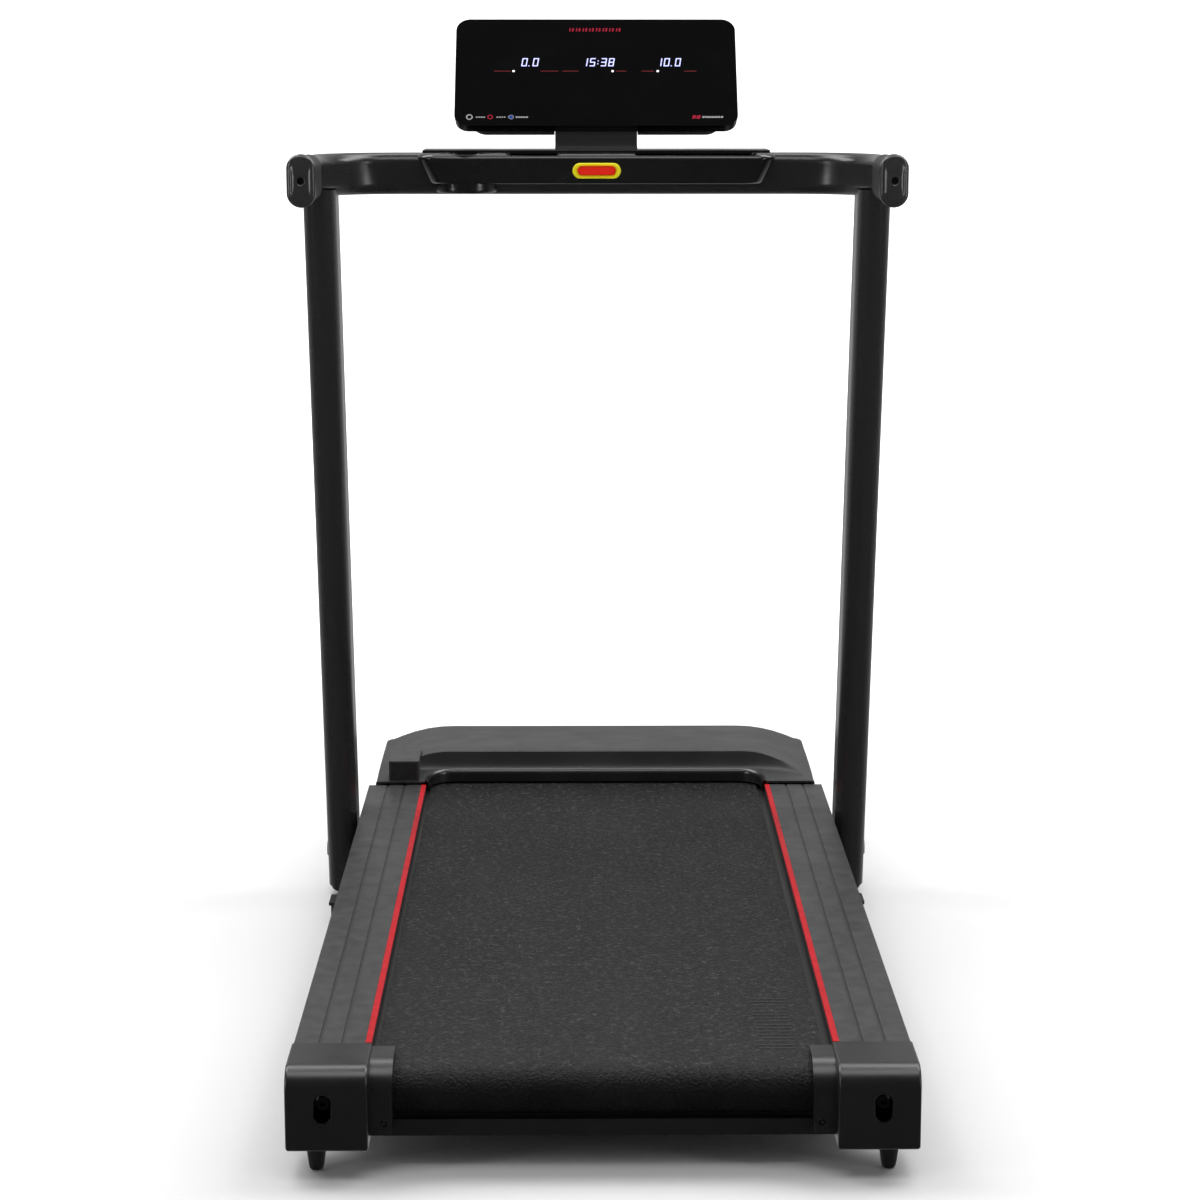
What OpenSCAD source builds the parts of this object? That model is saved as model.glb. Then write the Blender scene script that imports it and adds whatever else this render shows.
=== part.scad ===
// Folding home treadmill: deck with belt drive, folding uprights, handlebar, tray and console.
// Frame: +X right, +Y forward from the user to the motor hood, +Z up.
// Origin: on the floor, below the centre of the overall box.

/* [Deck] */
// Overall length, from the rear end caps to the front of the hood
deck_len = 1370; // [1340:5:1420]
// Width across the outer edges of the foot rails
deck_w = 620; // [616:1:622]
// Width of one foot rail
rail_w = 78; // [77:1:79]
// Height of the foot rails' top surface
rail_top = 115; // [114:1:117]
// Depth of the grooves along the foot rails
groove_depth = 1.2; // [0.6:0.1:1.8]
// Width of the accent strip along each rail's inner edge
strip_w = 6.5; // [5:0.5:8]

/* [Running belt and rollers] */
// Width of the running belt
belt_w = 450; // [440:1:450]
// Thickness of the running belt
belt_t = 1.6; // [1.2:0.1:2]
// Height of the belt's top surface
belt_top = 105; // [104:1:106]
// Outer radius of the belt where it turns round a roller
belt_r = 26; // [25:0.5:27]
// Distance from the rear face to the rear roller's axis
rear_roller_at = 52; // [50:1:54]
// Distance from the rear face to the front roller's axis
front_roller_at = 1185; // [1183:1:1190]
// Diameter of the roller axles
axle_d = 15; // [12:1:15]

/* [Motor hood] */
// Height of the hood's upper deck
hood_top = 148; // [140:1:156]
// Height of the hood's lower tier beside the belt opening
hood_tier = 119; // [119:1:121]
// Radius of the hood's far corners seen from above
hood_corner_r = 22; // [15:1:35]
// Wall thickness of the moulded covers
wall = 3; // [2.5:0.5:3.5]

/* [Uprights and handlebar] */
// Angle of the uprights from vertical, leaning toward the user
lean = 11.35; // [9:0.05:12]
// Distance between the centre lines of the uprights
upright_span = 670; // [668:1:674]
// Width of an upright's flat oval section
upright_w = 40; // [38:1:40]
// Depth of an upright's flat oval section
upright_d = 75; // [66:1:78]
// Height of the handlebar's centre line
bar_z = 950; // [940:1:960]
// Height of the handlebar's flat oval section
bar_h = 52; // [48:1:54]
// Thickness of the handlebar's flat oval section
bar_t = 26; // [24:1:28]
// Wall thickness of the steel tubes
tube_wall = 2; // [1.5:0.5:2.5]
// Radius of the handlebar's bends at its centre line
bend_r = 103; // [90:1:110]
// Distance between the centre lines of the handlebar's arms
arm_span = 690; // [686:1:694]

/* [Console and tray] */
// Width of the console's glass face
console_w = 355; // [340:1:370]
// Height of the console's glass face along its slope
console_h = 170; // [160:1:180]
// Angle of the console's face from vertical
console_tilt = 39; // [34:1:42]
// Width of the tray at its rim
tray_w = 446; // [442:1:450]
// Radius of the cup well
cup_r = 35; // [34:0.5:35]
// Width of the console's neck
neck_w = 103; // [96:1:110]

/* [Hidden] */
$fn = 64;

half = deck_len / 2;
rail_out = deck_w / 2;
rail_in = rail_out - rail_w;
rail_low = 84;
groove_w = 3.5;
roller_z = belt_top - belt_r;
roller_r = belt_r - belt_t - 0.3;
roller_half = 226.5;
belt_shift = -2;
cap_len = 81;
cap_low = 31;
cap_in = 231;
guard_in = 208;
cap_out = rail_out + 2.5;
hood_start = 1125;
hood_half = 302;
shoulder_in = 207;
shoulder_out = 288;
riser_out = 296;
sweep_w = 96;
sweep_d = 59;
tube_in = 262;
tube_out = 297;
tube_low = 48;
tube_high = 98;
tube_end = 1262;
bolt_x = 275.5;
support_at = 878;
board_z = belt_top - belt_t - 0.2 - 15;
pivot_at = 1002;
pivot_z = 60;
pivot_r = 8;
fit = 0.05;
up_x = upright_span / 2;
arm_x = arm_span / 2;
bar_at = 950;
arm_end = 690;
tray_at = 860;
tray_end = 934;
shelf_end = 1003;
tray_low = 940;
tray_high = 976;
shelf_top = tray_high + 3.5;
cup_low = 928;
cup_x = -161;
cup_at = 898;
button_z = 956;
console_at = 938;
console_z = 1009;
pin_y = 26;
pin_z = 20;
neck_half = neck_w / 2;
motor_at = 1290;
motor_z = 92;
wheel_at = 1325;
wheel_z = 27;
wheel_x = 200;
pulley_r = 34.5;
drive_x = 240;
inlet_x = -150;
rocker_x = -110;
breaker_x = -80;
socket_z = 72;
grip_len = 95;

// Distance from the rear face turned into a Y coordinate
function fy(distance) = distance - half;

module both_sides() {
    children();
    mirror([1, 0, 0]) children();
}

// Flat oval, the long way along its second axis
module oval(w, h) {
    square([w, h - w], center = true);
    for (side = [-1, 1]) translate([0, side * (h - w) / 2]) circle(d = w);
}

module rounded(w, h, r) {
    square([w, h - 2 * r], center = true);
    square([w - 2 * r, h], center = true);
    for (x = [-1, 1], y = [-1, 1]) translate([x * (w / 2 - r), y * (h / 2 - r)]) circle(r);
}

// Extrudes an outline drawn in Y and Z along X
module along_x(from, to) {
    translate([from, 0, 0]) rotate([90, 0, 90]) linear_extrude(to - from) children();
}

// Extrudes an outline drawn in X and Z along Y
module along_y(from, to) {
    translate([0, to, 0]) rotate([90, 0, 0]) linear_extrude(to - from) children();
}

module block(x, y, z) {
    translate([x[0], y[0], z[0]]) cube([x[1] - x[0], y[1] - y[0], z[1] - z[0]]);
}

module rod_x(from, to, r, y = 0, z = 0) {
    translate([from, y, z]) rotate([0, 90, 0]) cylinder(r = r, h = to - from);
}

module rod_y(from, to, r, x = 0, z = 0) {
    translate([x, from, z]) rotate([-90, 0, 0]) cylinder(r = r, h = to - from);
}

// ---- Frame ----

module side_tubes() {
    color("dimgray") both_sides() difference() {
        block([tube_in, tube_out], [fy(70), fy(tube_end)], [tube_low, tube_high]);
        block([tube_in + 2, tube_out - 2], [fy(69), fy(tube_end + 1)], [tube_low + 2, tube_high - 2]);
        rod_x(tube_in - 1, tube_out + 1, pivot_r, fy(pivot_at), pivot_z);
        rod_x(tube_in - 1, tube_out + 1, axle_d / 2, fy(front_roller_at), roller_z);
    }
}

module cross_tubes() {
    color("dimgray") for (at = [180, 480, 780, 1080]) difference() {
        block([-tube_in, tube_in], [fy(at), fy(at + 30)], [62, 82]);
        block([-tube_in - 1, tube_in + 1], [fy(at + 2), fy(at + 28)], [64, 80]);
    }
}

module rear_cross_tube() {
    color("dimgray") difference() {
        block([-258, 258], [fy(35), fy(55)], [34.5, 51.5]);
        block([-259, 259], [fy(37), fy(53)], [36.5, 49.5]);
    }
}

module front_support() {
    color("dimgray") {
        block([-312, 312], [fy(support_at - 15), fy(support_at + 15)], [27, tube_low]);
        both_sides() block([295, 344], [fy(support_at - 19), fy(support_at + 19)], [23, 27]);
    }
}

module tension_brackets() {
    color("dimgray") both_sides() {
        difference() {
            block([258, tube_in], [fy(30), fy(125)], [34.5, tube_high]);
            block([257, tube_in + 1], [fy(rear_roller_at - 14), fy(rear_roller_at + 14)],
                [roller_z - axle_d / 2, roller_z + axle_d / 2]);
        }
        difference() {
            block([tube_in, tube_out], [fy(66), fy(70)], [34.5, tube_high]);
            rod_y(fy(65), fy(71), 4.2, bolt_x, roller_z);
        }
    }
}

module pivot_brackets() {
    color("dimgray") both_sides() difference() {
        union() {
            block([tube_out, tube_out + 4], [fy(pivot_at - 45), fy(pivot_at + 45)], [38, tube_high]);
            rod_x(tube_out + 4, up_x - upright_w / 2 - 0.5, 22, fy(pivot_at), pivot_z);
        }
        rod_x(tube_out - 1, up_x, pivot_r, fy(pivot_at), pivot_z);
    }
}

module pivot_bolts() {
    color("silver") both_sides() {
        rod_x(tube_in + 3, up_x + upright_w / 2 + 0.4, pivot_r, fy(pivot_at), pivot_z);
        rod_x(up_x + upright_w / 2 + 0.4, up_x + upright_w / 2 + 2.2, 10, fy(pivot_at), pivot_z);
    }
}

module deck_board() {
    color("saddlebrown") block([-255, 255], [fy(95), fy(1140)], [board_z, board_z + 15]);
}

module deck_cushions() {
    color("black") both_sides() for (at = [195, 495, 795, 1095])
        translate([205, fy(at), 82]) cylinder(d = 28, h = board_z - 82);
}

// ---- Belt and rollers ----

function arc(y, z, r, from, to, steps) =
    [for (i = [0:steps]) let (a = from + (to - from) * i / steps) [y + r * cos(a), z + r * sin(a)]];

// Path of a taut belt round two pulleys of different size
module pulley_loop(y1, z1, r1, y2, z2, r2) {
    span = norm([y2 - y1, z2 - z1]);
    turn = acos((r1 - r2) / span);
    base = atan2(z2 - z1, y2 - y1);
    polygon(concat(arc(y1, z1, r1, base + turn, base + 360 - turn, 40),
        arc(y2, z2, r2, base - turn, base + turn, 20)));
}

// Path of the running belt round its two equal rollers
module deck_loop(r) {
    for (at = [rear_roller_at, front_roller_at]) translate([fy(at), roller_z]) circle(r, $fn = 96);
    translate([fy(rear_roller_at), roller_z - r]) square([front_roller_at - rear_roller_at, 2 * r]);
}

module running_belt() {
    color("#1a1a1a") along_x(belt_shift - belt_w / 2, belt_shift + belt_w / 2) difference() {
        deck_loop(belt_r);
        deck_loop(belt_r - belt_t);
    }
}

module axle(at, to) {
    rod_x(-to, to, axle_d / 2, fy(at), roller_z);
}

module roller(at) {
    difference() {
        rod_x(-roller_half, roller_half, roller_r, fy(at), roller_z);
        rod_x(-roller_half + 12, roller_half - 12, roller_r - 4, fy(at), roller_z);
        rod_x(-roller_half - 1, roller_half + 1, 16, fy(at), roller_z);
    }
}

module bearings(at) {
    both_sides() difference() {
        rod_x(roller_half - 11, roller_half, 16, fy(at), roller_z);
        rod_x(roller_half - 12, roller_half + 1, axle_d / 2 + fit, fy(at), roller_z);
    }
}

module rear_axle() {
    color("silver") difference() {
        axle(rear_roller_at, 290);
        both_sides() rod_y(fy(40), fy(64), 4.2, bolt_x, roller_z);
    }
}

module rear_roller() {
    color("gray") roller(rear_roller_at);
}

module rear_bearings() {
    color("silver") bearings(rear_roller_at);
}

module front_axle() {
    color("silver") axle(front_roller_at, tube_out);
}

module front_roller() {
    color("gray") roller(front_roller_at);
}

module front_bearings() {
    color("silver") bearings(front_roller_at);
}

module driven_pulley() {
    color("dimgray") difference() {
        union() {
            rod_x(roller_half, drive_x - 8, 14, fy(front_roller_at), roller_z);
            rod_x(drive_x - 8, drive_x - 5, pulley_r + 1.5, fy(front_roller_at), roller_z);
            rod_x(drive_x - 5, drive_x + 5, pulley_r, fy(front_roller_at), roller_z);
            rod_x(drive_x + 5, drive_x + 8, pulley_r + 1.5, fy(front_roller_at), roller_z);
        }
        rod_x(roller_half - 1, drive_x + 9, axle_d / 2 + 1, fy(front_roller_at), roller_z);
    }
}

module tension_bolts() {
    color("#303030") both_sides() {
        rod_y(fy(14), fy(108), 4, bolt_x, roller_z);
        difference() {
            rod_y(fy(6), fy(14), 6.5, bolt_x, roller_z);
            translate([bolt_x, fy(5), roller_z]) rotate([-90, 30, 0]) cylinder(r = 3.4, h = 6, $fn = 6);
        }
    }
}

// ---- Foot rails and covers ----

module rail_outline() {
    difference() {
        translate([rail_in, rail_low]) square([rail_w, rail_top - rail_low]);
        translate([rail_in + wall, rail_low - 1])
            square([rail_w - 2 * wall, rail_top - wall - rail_low + 1]);
        translate([rail_in - 1, rail_low - 1]) square([wall + 2, 24]);
        for (inward = [26, 49]) translate([rail_out - inward - groove_w / 2, rail_top - groove_depth])
            square([groove_w, 3]);
        translate([rail_in - 1, rail_top - 2]) square([strip_w + 1, 3]);
    }
    for (x = [tube_in + 2, tube_out - 5]) translate([x, tube_high])
        square([3, rail_top - wall - tube_high + 0.5]);
}

module rail() {
    along_y(fy(cap_len), fy(hood_start - 3)) rail_outline();
}

module left_rail() {
    color("#3c3e42") mirror([1, 0, 0]) rail();
}

module right_rail() {
    color("#3c3e42") rail();
}

module accent_strips() {
    color("red") both_sides() block([rail_in, rail_in + strip_w - 0.2], [fy(cap_len), fy(hood_start - 3)],
        [rail_top - 2, rail_top + 0.3]);
}

// Side view of an end cap, square but for its rounded top rear edge
module cap_outline(inset) {
    r = 23 - inset;
    low = cap_low + inset;
    high = rail_top - inset;
    translate([fy(inset), low]) square([cap_len - inset, high - r - low]);
    translate([fy(inset + r), low]) square([cap_len - inset - r, high - low]);
    translate([fy(inset + r), high - r]) circle(r);
}

module end_cap() {
    difference() {
        along_x(cap_in, cap_out) cap_outline(0);
        along_x(cap_in + wall, cap_out - wall) cap_outline(wall);
        block([cap_in + wall, cap_out - wall], [fy(60), fy(cap_len + 1)],
            [cap_low + wall, rail_top - wall]);
        along_y(fy(-1), fy(wall + 1)) translate([bolt_x, 74.5]) oval(16.5, 29);
        rod_x(cap_in - 1, cap_in + wall + 1, 9, fy(rear_roller_at), roller_z);
        block([cap_in - 1, cap_in + wall + 1], [fy(34), fy(56)], [cap_low + wall, 53]);
    }
}

module left_end_cap() {
    color("#1c1c1e") mirror([1, 0, 0]) end_cap();
}

module right_end_cap() {
    color("#1c1c1e") end_cap();
}

module roller_guards() {
    at = fy(rear_roller_at);
    color("#1c1c1e") both_sides() along_x(guard_in, cap_in) difference() {
        union() {
            translate([at, roller_z]) circle(33);
            translate([at - 33, 42]) square([24, roller_z - 42]);
            translate([at, roller_z]) square([28, 33]);
        }
        translate([at, roller_z]) circle(28);
        translate([at, roller_z - 60]) square([60, 60 + belt_r + 2]);
        translate([at - 22, 0]) square([60, roller_z - 25]);
    }
}

module rear_feet() {
    color("#202022") both_sides() translate([285, fy(35), 0]) {
        cylinder(r1 = 6.5, r2 = 8.2, h = 6);
        translate([0, 0, 6]) cylinder(r1 = 8.2, r2 = 10, h = cap_low - 6);
    }
}

module front_feet() {
    color("#202022") both_sides() {
        translate([325, fy(support_at), 0]) cylinder(r = 18, h = 23);
        translate([250, fy(1240), 0]) cylinder(r1 = 15, r2 = 18, h = 28);
    }
}

// ---- Hood and drive ----

module hood_plan(inset) {
    r = hood_corner_r - inset;
    x = hood_half - inset;
    translate([-x, fy(hood_start) + inset]) square([2 * x, deck_len - hood_start - r - 2 * inset]);
    translate([r - x, fy(hood_start) + inset]) square([2 * (x - r), deck_len - hood_start - 2 * inset]);
    both_sides() translate([x - r, half - inset - r]) circle(r);
}

// The bay that the lower tier leaves open over the belt
module belt_bay(inset) {
    translate([0, fy(1125)]) rounded(2 * (rail_in - 2 + inset), 2 * (47 + inset), 35 + inset);
}

// The bay in front of the upper deck: its far edge sweeps toward the user at both ends
module tier_bay(inset) {
    near = fy(hood_start);
    sweep = [for (i = [0:12]) let (turn = 90 * i / 12)
        [riser_out - sweep_w + (sweep_w + inset) * cos(turn), near + (sweep_d + inset) * sin(turn)]];
    polygon(concat([[riser_out + inset, near - 20]], sweep,
        [for (i = [12:-1:0]) [-sweep[i][0], sweep[i][1]]], [[-riser_out - inset, near - 20]]));
}

// The hood seen from behind: a flat top, a shoulder that falls in a curve and a flange on each side
module hood_profile(inset) {
    x = hood_half - inset;
    top = hood_top - inset;
    low = hood_tier - inset;
    shoulder = [for (i = [0:12]) [shoulder_in + (shoulder_out - shoulder_in) * i / 12,
        top - (top - low) * pow(i / 12, 2)]];
    polygon(concat([[-x, 0], [-x, low]], [for (i = [12:-1:0]) [-shoulder[i][0], shoulder[i][1]]],
        shoulder, [[x, low], [x, 0]]));
}

module hood_solid(inset, from) {
    intersection() {
        translate([0, 0, from]) linear_extrude(hood_top) difference() {
            hood_plan(inset);
            belt_bay(inset);
        }
        along_y(fy(hood_start), half) hood_profile(inset);
    }
}

module motor_hood() {
    color("#55575a") difference() {
        hood_solid(0, cap_low);
        translate([0, 0, hood_tier]) linear_extrude(hood_top) tier_bay(0);
        difference() {
            hood_solid(wall, cap_low - 1);
            translate([0, 0, hood_tier - wall]) linear_extrude(hood_top) tier_bay(wall);
        }
        block([-240, 240], [fy(1120), fy(1180)], [cap_low - 1, belt_top + 2]);
        both_sides() block([230, 310], [fy(1120), fy(1130)], [cap_low - 1, 108]);
        translate([inlet_x, half, socket_z]) block([-15, 15], [-wall - 1, 1], [-12, 12]);
        translate([rocker_x, half, socket_z]) block([-10, 10], [-wall - 1, 1], [-14, 14]);
        rod_y(half - wall - 1, half + 1, 6, breaker_x, socket_z);
    }
}

module hood_block() {
    color("#4b4d50") difference() {
        block([-283, -242], [fy(1127), fy(1200)], [hood_tier + 0.2, hood_top - 1]);
        difference() {
            along_y(fy(1100), half) hood_profile(0);
            linear_extrude(hood_top) tier_bay(0);
        }
        block([-280, -245], [fy(1126), fy(1129)], [hood_tier + 2, hood_top - 4]);
    }
}

module hood_window() {
    color("black") block([-279.7, -245.3], [fy(1127.2), fy(1128.8)], [hood_tier + 2.3, hood_top - 4.3]);
}

module belly_pan() {
    color("#2a2a2c") translate([0, 0, 28]) linear_extrude(3) difference() {
        hood_plan(5);
        for (x = [-wheel_x, wheel_x]) translate([x, fy(wheel_at)]) square([34, 60], center = true);
    }
}

module drive_motor() {
    color("#8a8c8f") difference() {
        union() {
            rod_x(60, 215, 38, fy(motor_at), motor_z);
            rod_x(215, 222, 22, fy(motor_at), motor_z);
        }
        rod_x(59, 223, 8 + fit, fy(motor_at), motor_z);
    }
}

module motor_mount() {
    color("dimgray") {
        difference() {
            block([-tube_in, tube_in], [fy(motor_at - 40), fy(motor_at - 5)], [31, 51]);
            block([-tube_in - 1, tube_in + 1], [fy(motor_at - 38), fy(motor_at - 7)], [33, 49]);
        }
        difference() {
            block([80, 180], [fy(motor_at - 25), fy(motor_at + 20)], [51, 64]);
            rod_x(79, 181, 38, fy(motor_at), motor_z);
        }
    }
}

module motor_shaft() {
    color("silver") {
        rod_x(30, drive_x - 8, 8, fy(motor_at), motor_z);
        rod_x(drive_x - 8, drive_x + 8, 13, fy(motor_at), motor_z);
    }
}

module flywheel_fan() {
    color("#4a4a4c") difference() {
        union() {
            rod_x(40, 44, 34, fy(motor_at), motor_z);
            for (turn = [0:30:330]) translate([44, fy(motor_at), motor_z]) rotate([turn, 0, 0])
                translate([0, 12, -1]) cube([10, 21, 2]);
            rod_x(44, 54, 13, fy(motor_at), motor_z);
        }
        rod_x(39, 55, 8, fy(motor_at), motor_z);
    }
}

module drive_belt() {
    color("black") along_x(drive_x - 4, drive_x + 4) difference() {
        pulley_loop(fy(front_roller_at), roller_z, pulley_r + 1.8, fy(motor_at), motor_z, 14.8);
        pulley_loop(fy(front_roller_at), roller_z, pulley_r + 0.4, fy(motor_at), motor_z, 13.4);
    }
}

module motor_controller() {
    color("#2c4a34") block([-180, -20], [fy(1235), fy(1350)], [54, 58]);
    color("silver") {
        block([-175, -115], [fy(1260), fy(1330)], [58, 92]);
        for (x = [-100, -70, -40]) translate([x, fy(1300), 58]) cylinder(d = 24, h = 36);
    }
    color("dimgray") for (x = [-170, -30]) translate([x, fy(1258), 51]) cylinder(d = 8, h = 3);
}

module power_inlet() {
    translate([inlet_x, half, socket_z]) {
        color("#161618") difference() {
            union() {
                block([-14.7, 14.7], [-22, -0.5], [-11.7, 11.7]);
                block([-18, 18], [-wall - 2.5, -wall], [-15, 15]);
            }
            block([-11, 11], [-18, 1], [-8, 8]);
        }
        color("silver") for (x = [-6, 0, 6]) block([x - 1, x + 1], [-19, -6], [-3, 3]);
    }
}

module power_switch() {
    color("#b01818") translate([rocker_x, half, socket_z]) {
        block([-9, 9], [-9, -0.8], [-11.5, 11.5]);
        rod_x(-9.5, 9.5, 3, -9, 0);
    }
}

module breaker_button() {
    color("#202022") rod_y(half - 14, half - 0.5, 5.6, breaker_x, socket_z);
}

module wheel_brackets() {
    color("dimgray") for (x = [-wheel_x, wheel_x]) {
        for (side = [-1, 1]) difference() {
            translate([x + side * 13.5, fy(wheel_at), 0]) block([-1.5, 1.5], [-12, 12], [18, 58]);
            rod_x(x + side * 13.5 - 2, x + side * 13.5 + 2, 5, fy(wheel_at), wheel_z);
        }
        block([x - 15, x + 15], [fy(wheel_at - 12), fy(wheel_at + 12)], [58, 61]);
        rod_x(x - 16, x + 16, 5, fy(wheel_at), wheel_z);
    }
}

module transport_wheels() {
    color("#303032") for (x = [-wheel_x, wheel_x]) difference() {
        rod_x(x - 10, x + 10, 24, fy(wheel_at), wheel_z);
        rod_x(x - 11, x + 11, 5 + fit, fy(wheel_at), wheel_z);
    }
}

// ---- Uprights and handlebar ----

// Local frame of the folding mast: origin on the pivot, Z along the uprights
module mast() {
    translate([0, fy(pivot_at), pivot_z]) rotate([lean, 0, 0]) children();
}

module upright() {
    difference() {
        mast() translate([up_x, 0, -42]) linear_extrude(960) difference() {
            oval(upright_w, upright_d);
            oval(upright_w - 2 * tube_wall, upright_d - 2 * tube_wall);
        }
        mast() rod_x(up_x - 30, up_x + 30, 11);
        translate([0, 0, bar_z - 15]) linear_extrude(200) square([900, 900], center = true);
        bar_solid(-0.3);
        block([arm_x, arm_x + 20], [fy(700), fy(900)], [bar_z - bar_h / 2 - 1, bar_z]);
    }
}

module left_upright() {
    color("#151516") mirror([1, 0, 0]) upright();
}

module right_upright() {
    color("#151516") upright();
}

module upright_bushes() {
    color("goldenrod") both_sides() mast() difference() {
        rod_x(up_x - upright_w / 2, up_x + upright_w / 2, 11);
        rod_x(up_x - upright_w / 2 - 1, up_x + upright_w / 2 + 1, pivot_r + fit);
    }
}

module upright_plugs() {
    color("#0c0c0c") both_sides() mast() translate([up_x, 0, -50]) {
        linear_extrude(8) oval(upright_w - 6, upright_d - 14);
        translate([0, 0, 8]) linear_extrude(12)
            oval(upright_w - 2 * tube_wall - 0.4, upright_d - 2 * tube_wall - 0.4);
    }
}

module bar_solid(trim) {
    y = fy(bar_at);
    along_x(-arm_x + bend_r, arm_x - bend_r) translate([y, bar_z]) oval(bar_t - trim, bar_h - trim);
    both_sides() {
        translate([arm_x - bend_r, y - bend_r, bar_z]) rotate_extrude(angle = 90)
            translate([bend_r, 0]) oval(bar_t - trim, bar_h - trim);
        along_y(fy(arm_end) - trim, y - bend_r) translate([arm_x, bar_z]) oval(bar_t - trim, bar_h - trim);
    }
}

module handlebar() {
    color("#151516") difference() {
        bar_solid(0);
        bar_solid(2 * tube_wall);
    }
}

module grip_sleeves() {
    color("#101010") both_sides() along_y(fy(arm_end), fy(arm_end + grip_len)) difference() {
        translate([arm_x, bar_z]) oval(30, 56);
        translate([arm_x, bar_z]) oval(bar_t, bar_h);
    }
}

module grip_caps() {
    color("#0e0e0e") both_sides() difference() {
        union() {
            along_y(fy(arm_end - 9), fy(arm_end)) translate([arm_x, bar_z]) oval(34, 62);
            along_y(fy(arm_end - 13), fy(arm_end - 9)) translate([arm_x, bar_z]) oval(26, 54);
        }
        rod_y(fy(arm_end - 14), fy(arm_end - 7), 4.4, arm_x, bar_z);
        rod_y(fy(arm_end - 8), fy(arm_end + 1), 2.2, arm_x, bar_z);
    }
}

module grip_screws() {
    color("silver") both_sides() {
        rod_y(fy(arm_end - 10), fy(arm_end - 7), 4.2, arm_x, bar_z);
        rod_y(fy(arm_end - 7), fy(arm_end + 12), 2.1, arm_x, bar_z);
    }
}

module saddle_bolts() {
    color("#303030") both_sides() for (at = [808, 846])
        translate([arm_x, fy(at), bar_z - bar_h / 2 - 4.2]) cylinder(d = 11, h = 4);
}

// ---- Tray and stop button ----

module tray_outline() {
    polygon([[-tray_w / 2, tray_high], [tray_w / 2, tray_high], [tray_w / 2 - 20, tray_low],
        [20 - tray_w / 2, tray_low]]);
}

module tray() {
    near = fy(tray_at);
    far = fy(tray_end) - wall;
    shelf_half = tray_w / 2 - 6;
    color("#17171a") difference() {
        union() {
            along_y(near, far + wall) tray_outline();
            translate([cup_x, fy(cup_at), cup_low]) cylinder(r = cup_r + 2.5, h = tray_high - cup_low);
            block([-shelf_half, shelf_half], [far + wall, fy(shelf_end)], [tray_high + 0.3, shelf_top]);
            block([-shelf_half, shelf_half], [far, far + wall], [tray_high - 4, shelf_top]);
            block([10 - shelf_half, shelf_half - 10], [fy(shelf_end - 3), fy(shelf_end)],
                [950, tray_high + 1]);
        }
        translate([cup_x, fy(cup_at), cup_low + 3]) cylinder(r = cup_r, h = 60);
        block([-112, -44], [near + wall, far], [tray_low + wall, tray_high + 1]);
        block([44, 198], [near + wall, far], [tray_low + wall, tray_high + 1]);
        block([-40, 40], [near + wall, far], [tray_low - 1, tray_high - wall]);
        along_y(near - 1, near + wall + 1) translate([0, button_z]) rotate(90) oval(10.4, 46.4);
    }
}

module stop_ring() {
    color("gold") difference() {
        along_y(fy(tray_at - 3), fy(tray_at)) translate([0, button_z]) rotate(90) oval(21.5, 60);
        along_y(fy(tray_at - 4), fy(tray_at + 1)) translate([0, button_z]) rotate(90) oval(10.4, 46.4);
    }
}

module stop_button() {
    color("red") {
        along_y(fy(tray_at - 5), fy(tray_at + 12)) translate([0, button_z]) rotate(90) oval(9.6, 45.6);
        along_y(fy(tray_at + 12), fy(tray_at + 14)) translate([0, button_z]) rotate(90) oval(12.4, 49);
    }
}

// ---- Console ----

// Local frame of the console: origin on the glass's lower edge, Z up its slope, Y into the console
module console() {
    translate([0, fy(console_at), console_z]) rotate([-console_tilt, 0, 0]) children();
}

module slab(w, h, r, from, to) {
    translate([0, 0, console_h / 2]) along_y(from, to) rounded(w, h, r);
}

hinge_at = fy(console_at) + pin_y * cos(console_tilt) + pin_z * sin(console_tilt);
hinge_z = console_z - pin_y * sin(console_tilt) + pin_z * cos(console_tilt);

module console_neck() {
    color("#2b2c2e") difference() {
        union() {
            block([-neck_half, neck_half], [hinge_at - 12, hinge_at + 24], [shelf_top, hinge_z - 9.3]);
            block([-neck_half, neck_half], [hinge_at - 12, hinge_at - 9], [hinge_z - 12, hinge_z - 6.3]);
            block([-neck_half, neck_half], [hinge_at - 26, hinge_at + 24], [shelf_top, shelf_top + 4.5]);
            both_sides() {
                block([31, neck_half], [hinge_at - 10, hinge_at + 9], [hinge_z - 10, hinge_z]);
                rod_x(31, neck_half, 9, hinge_at, hinge_z);
            }
        }
        rod_x(-neck_w, neck_w, 4, hinge_at, hinge_z);
    }
}

module hinge_pin() {
    color("silver") rod_x(-neck_half, neck_half, 4, hinge_at, hinge_z);
}

module console_glass() {
    color("#050506") console() slab(console_w, console_h, 18, 0, 4);
}

module console_rim() {
    color("#1a1a1c") console() difference() {
        slab(console_w - 2, console_h - 2, 17, 4, 13);
        slab(console_w - 12, console_h - 12, 12, 3.9, 14);
    }
}

module console_back() {
    color("#3a3b3e") difference() {
        union() {
            console() difference() {
                union() {
                    slab(console_w - 12.2, console_h - 12.2, 12, 10, 13);
                    slab(console_w - 40, console_h - 24, 20, 13, 34);
                }
                slab(console_w - 46, console_h - 30, 17, 9, 31);
                block([-52.2, 52.2], [13.01, 60], [-1, 36]);
            }
            console() block([-30, 30], [10, pin_y], [11.5, pin_z + 4]);
            rod_x(-30, 30, 8.5, hinge_at, hinge_z);
        }
        rod_x(-31, 31, 4 + fit, hinge_at, hinge_z);
    }
}

module display_board() {
    color("darkgreen") console() translate([0, 0, console_h / 2]) along_y(4.3, 6)
        square([300, 120], center = true);
}

module mast_cable() {
    color("black") mast() translate([up_x, 22, -20]) cylinder(r = 3, h = 860);
}

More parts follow.
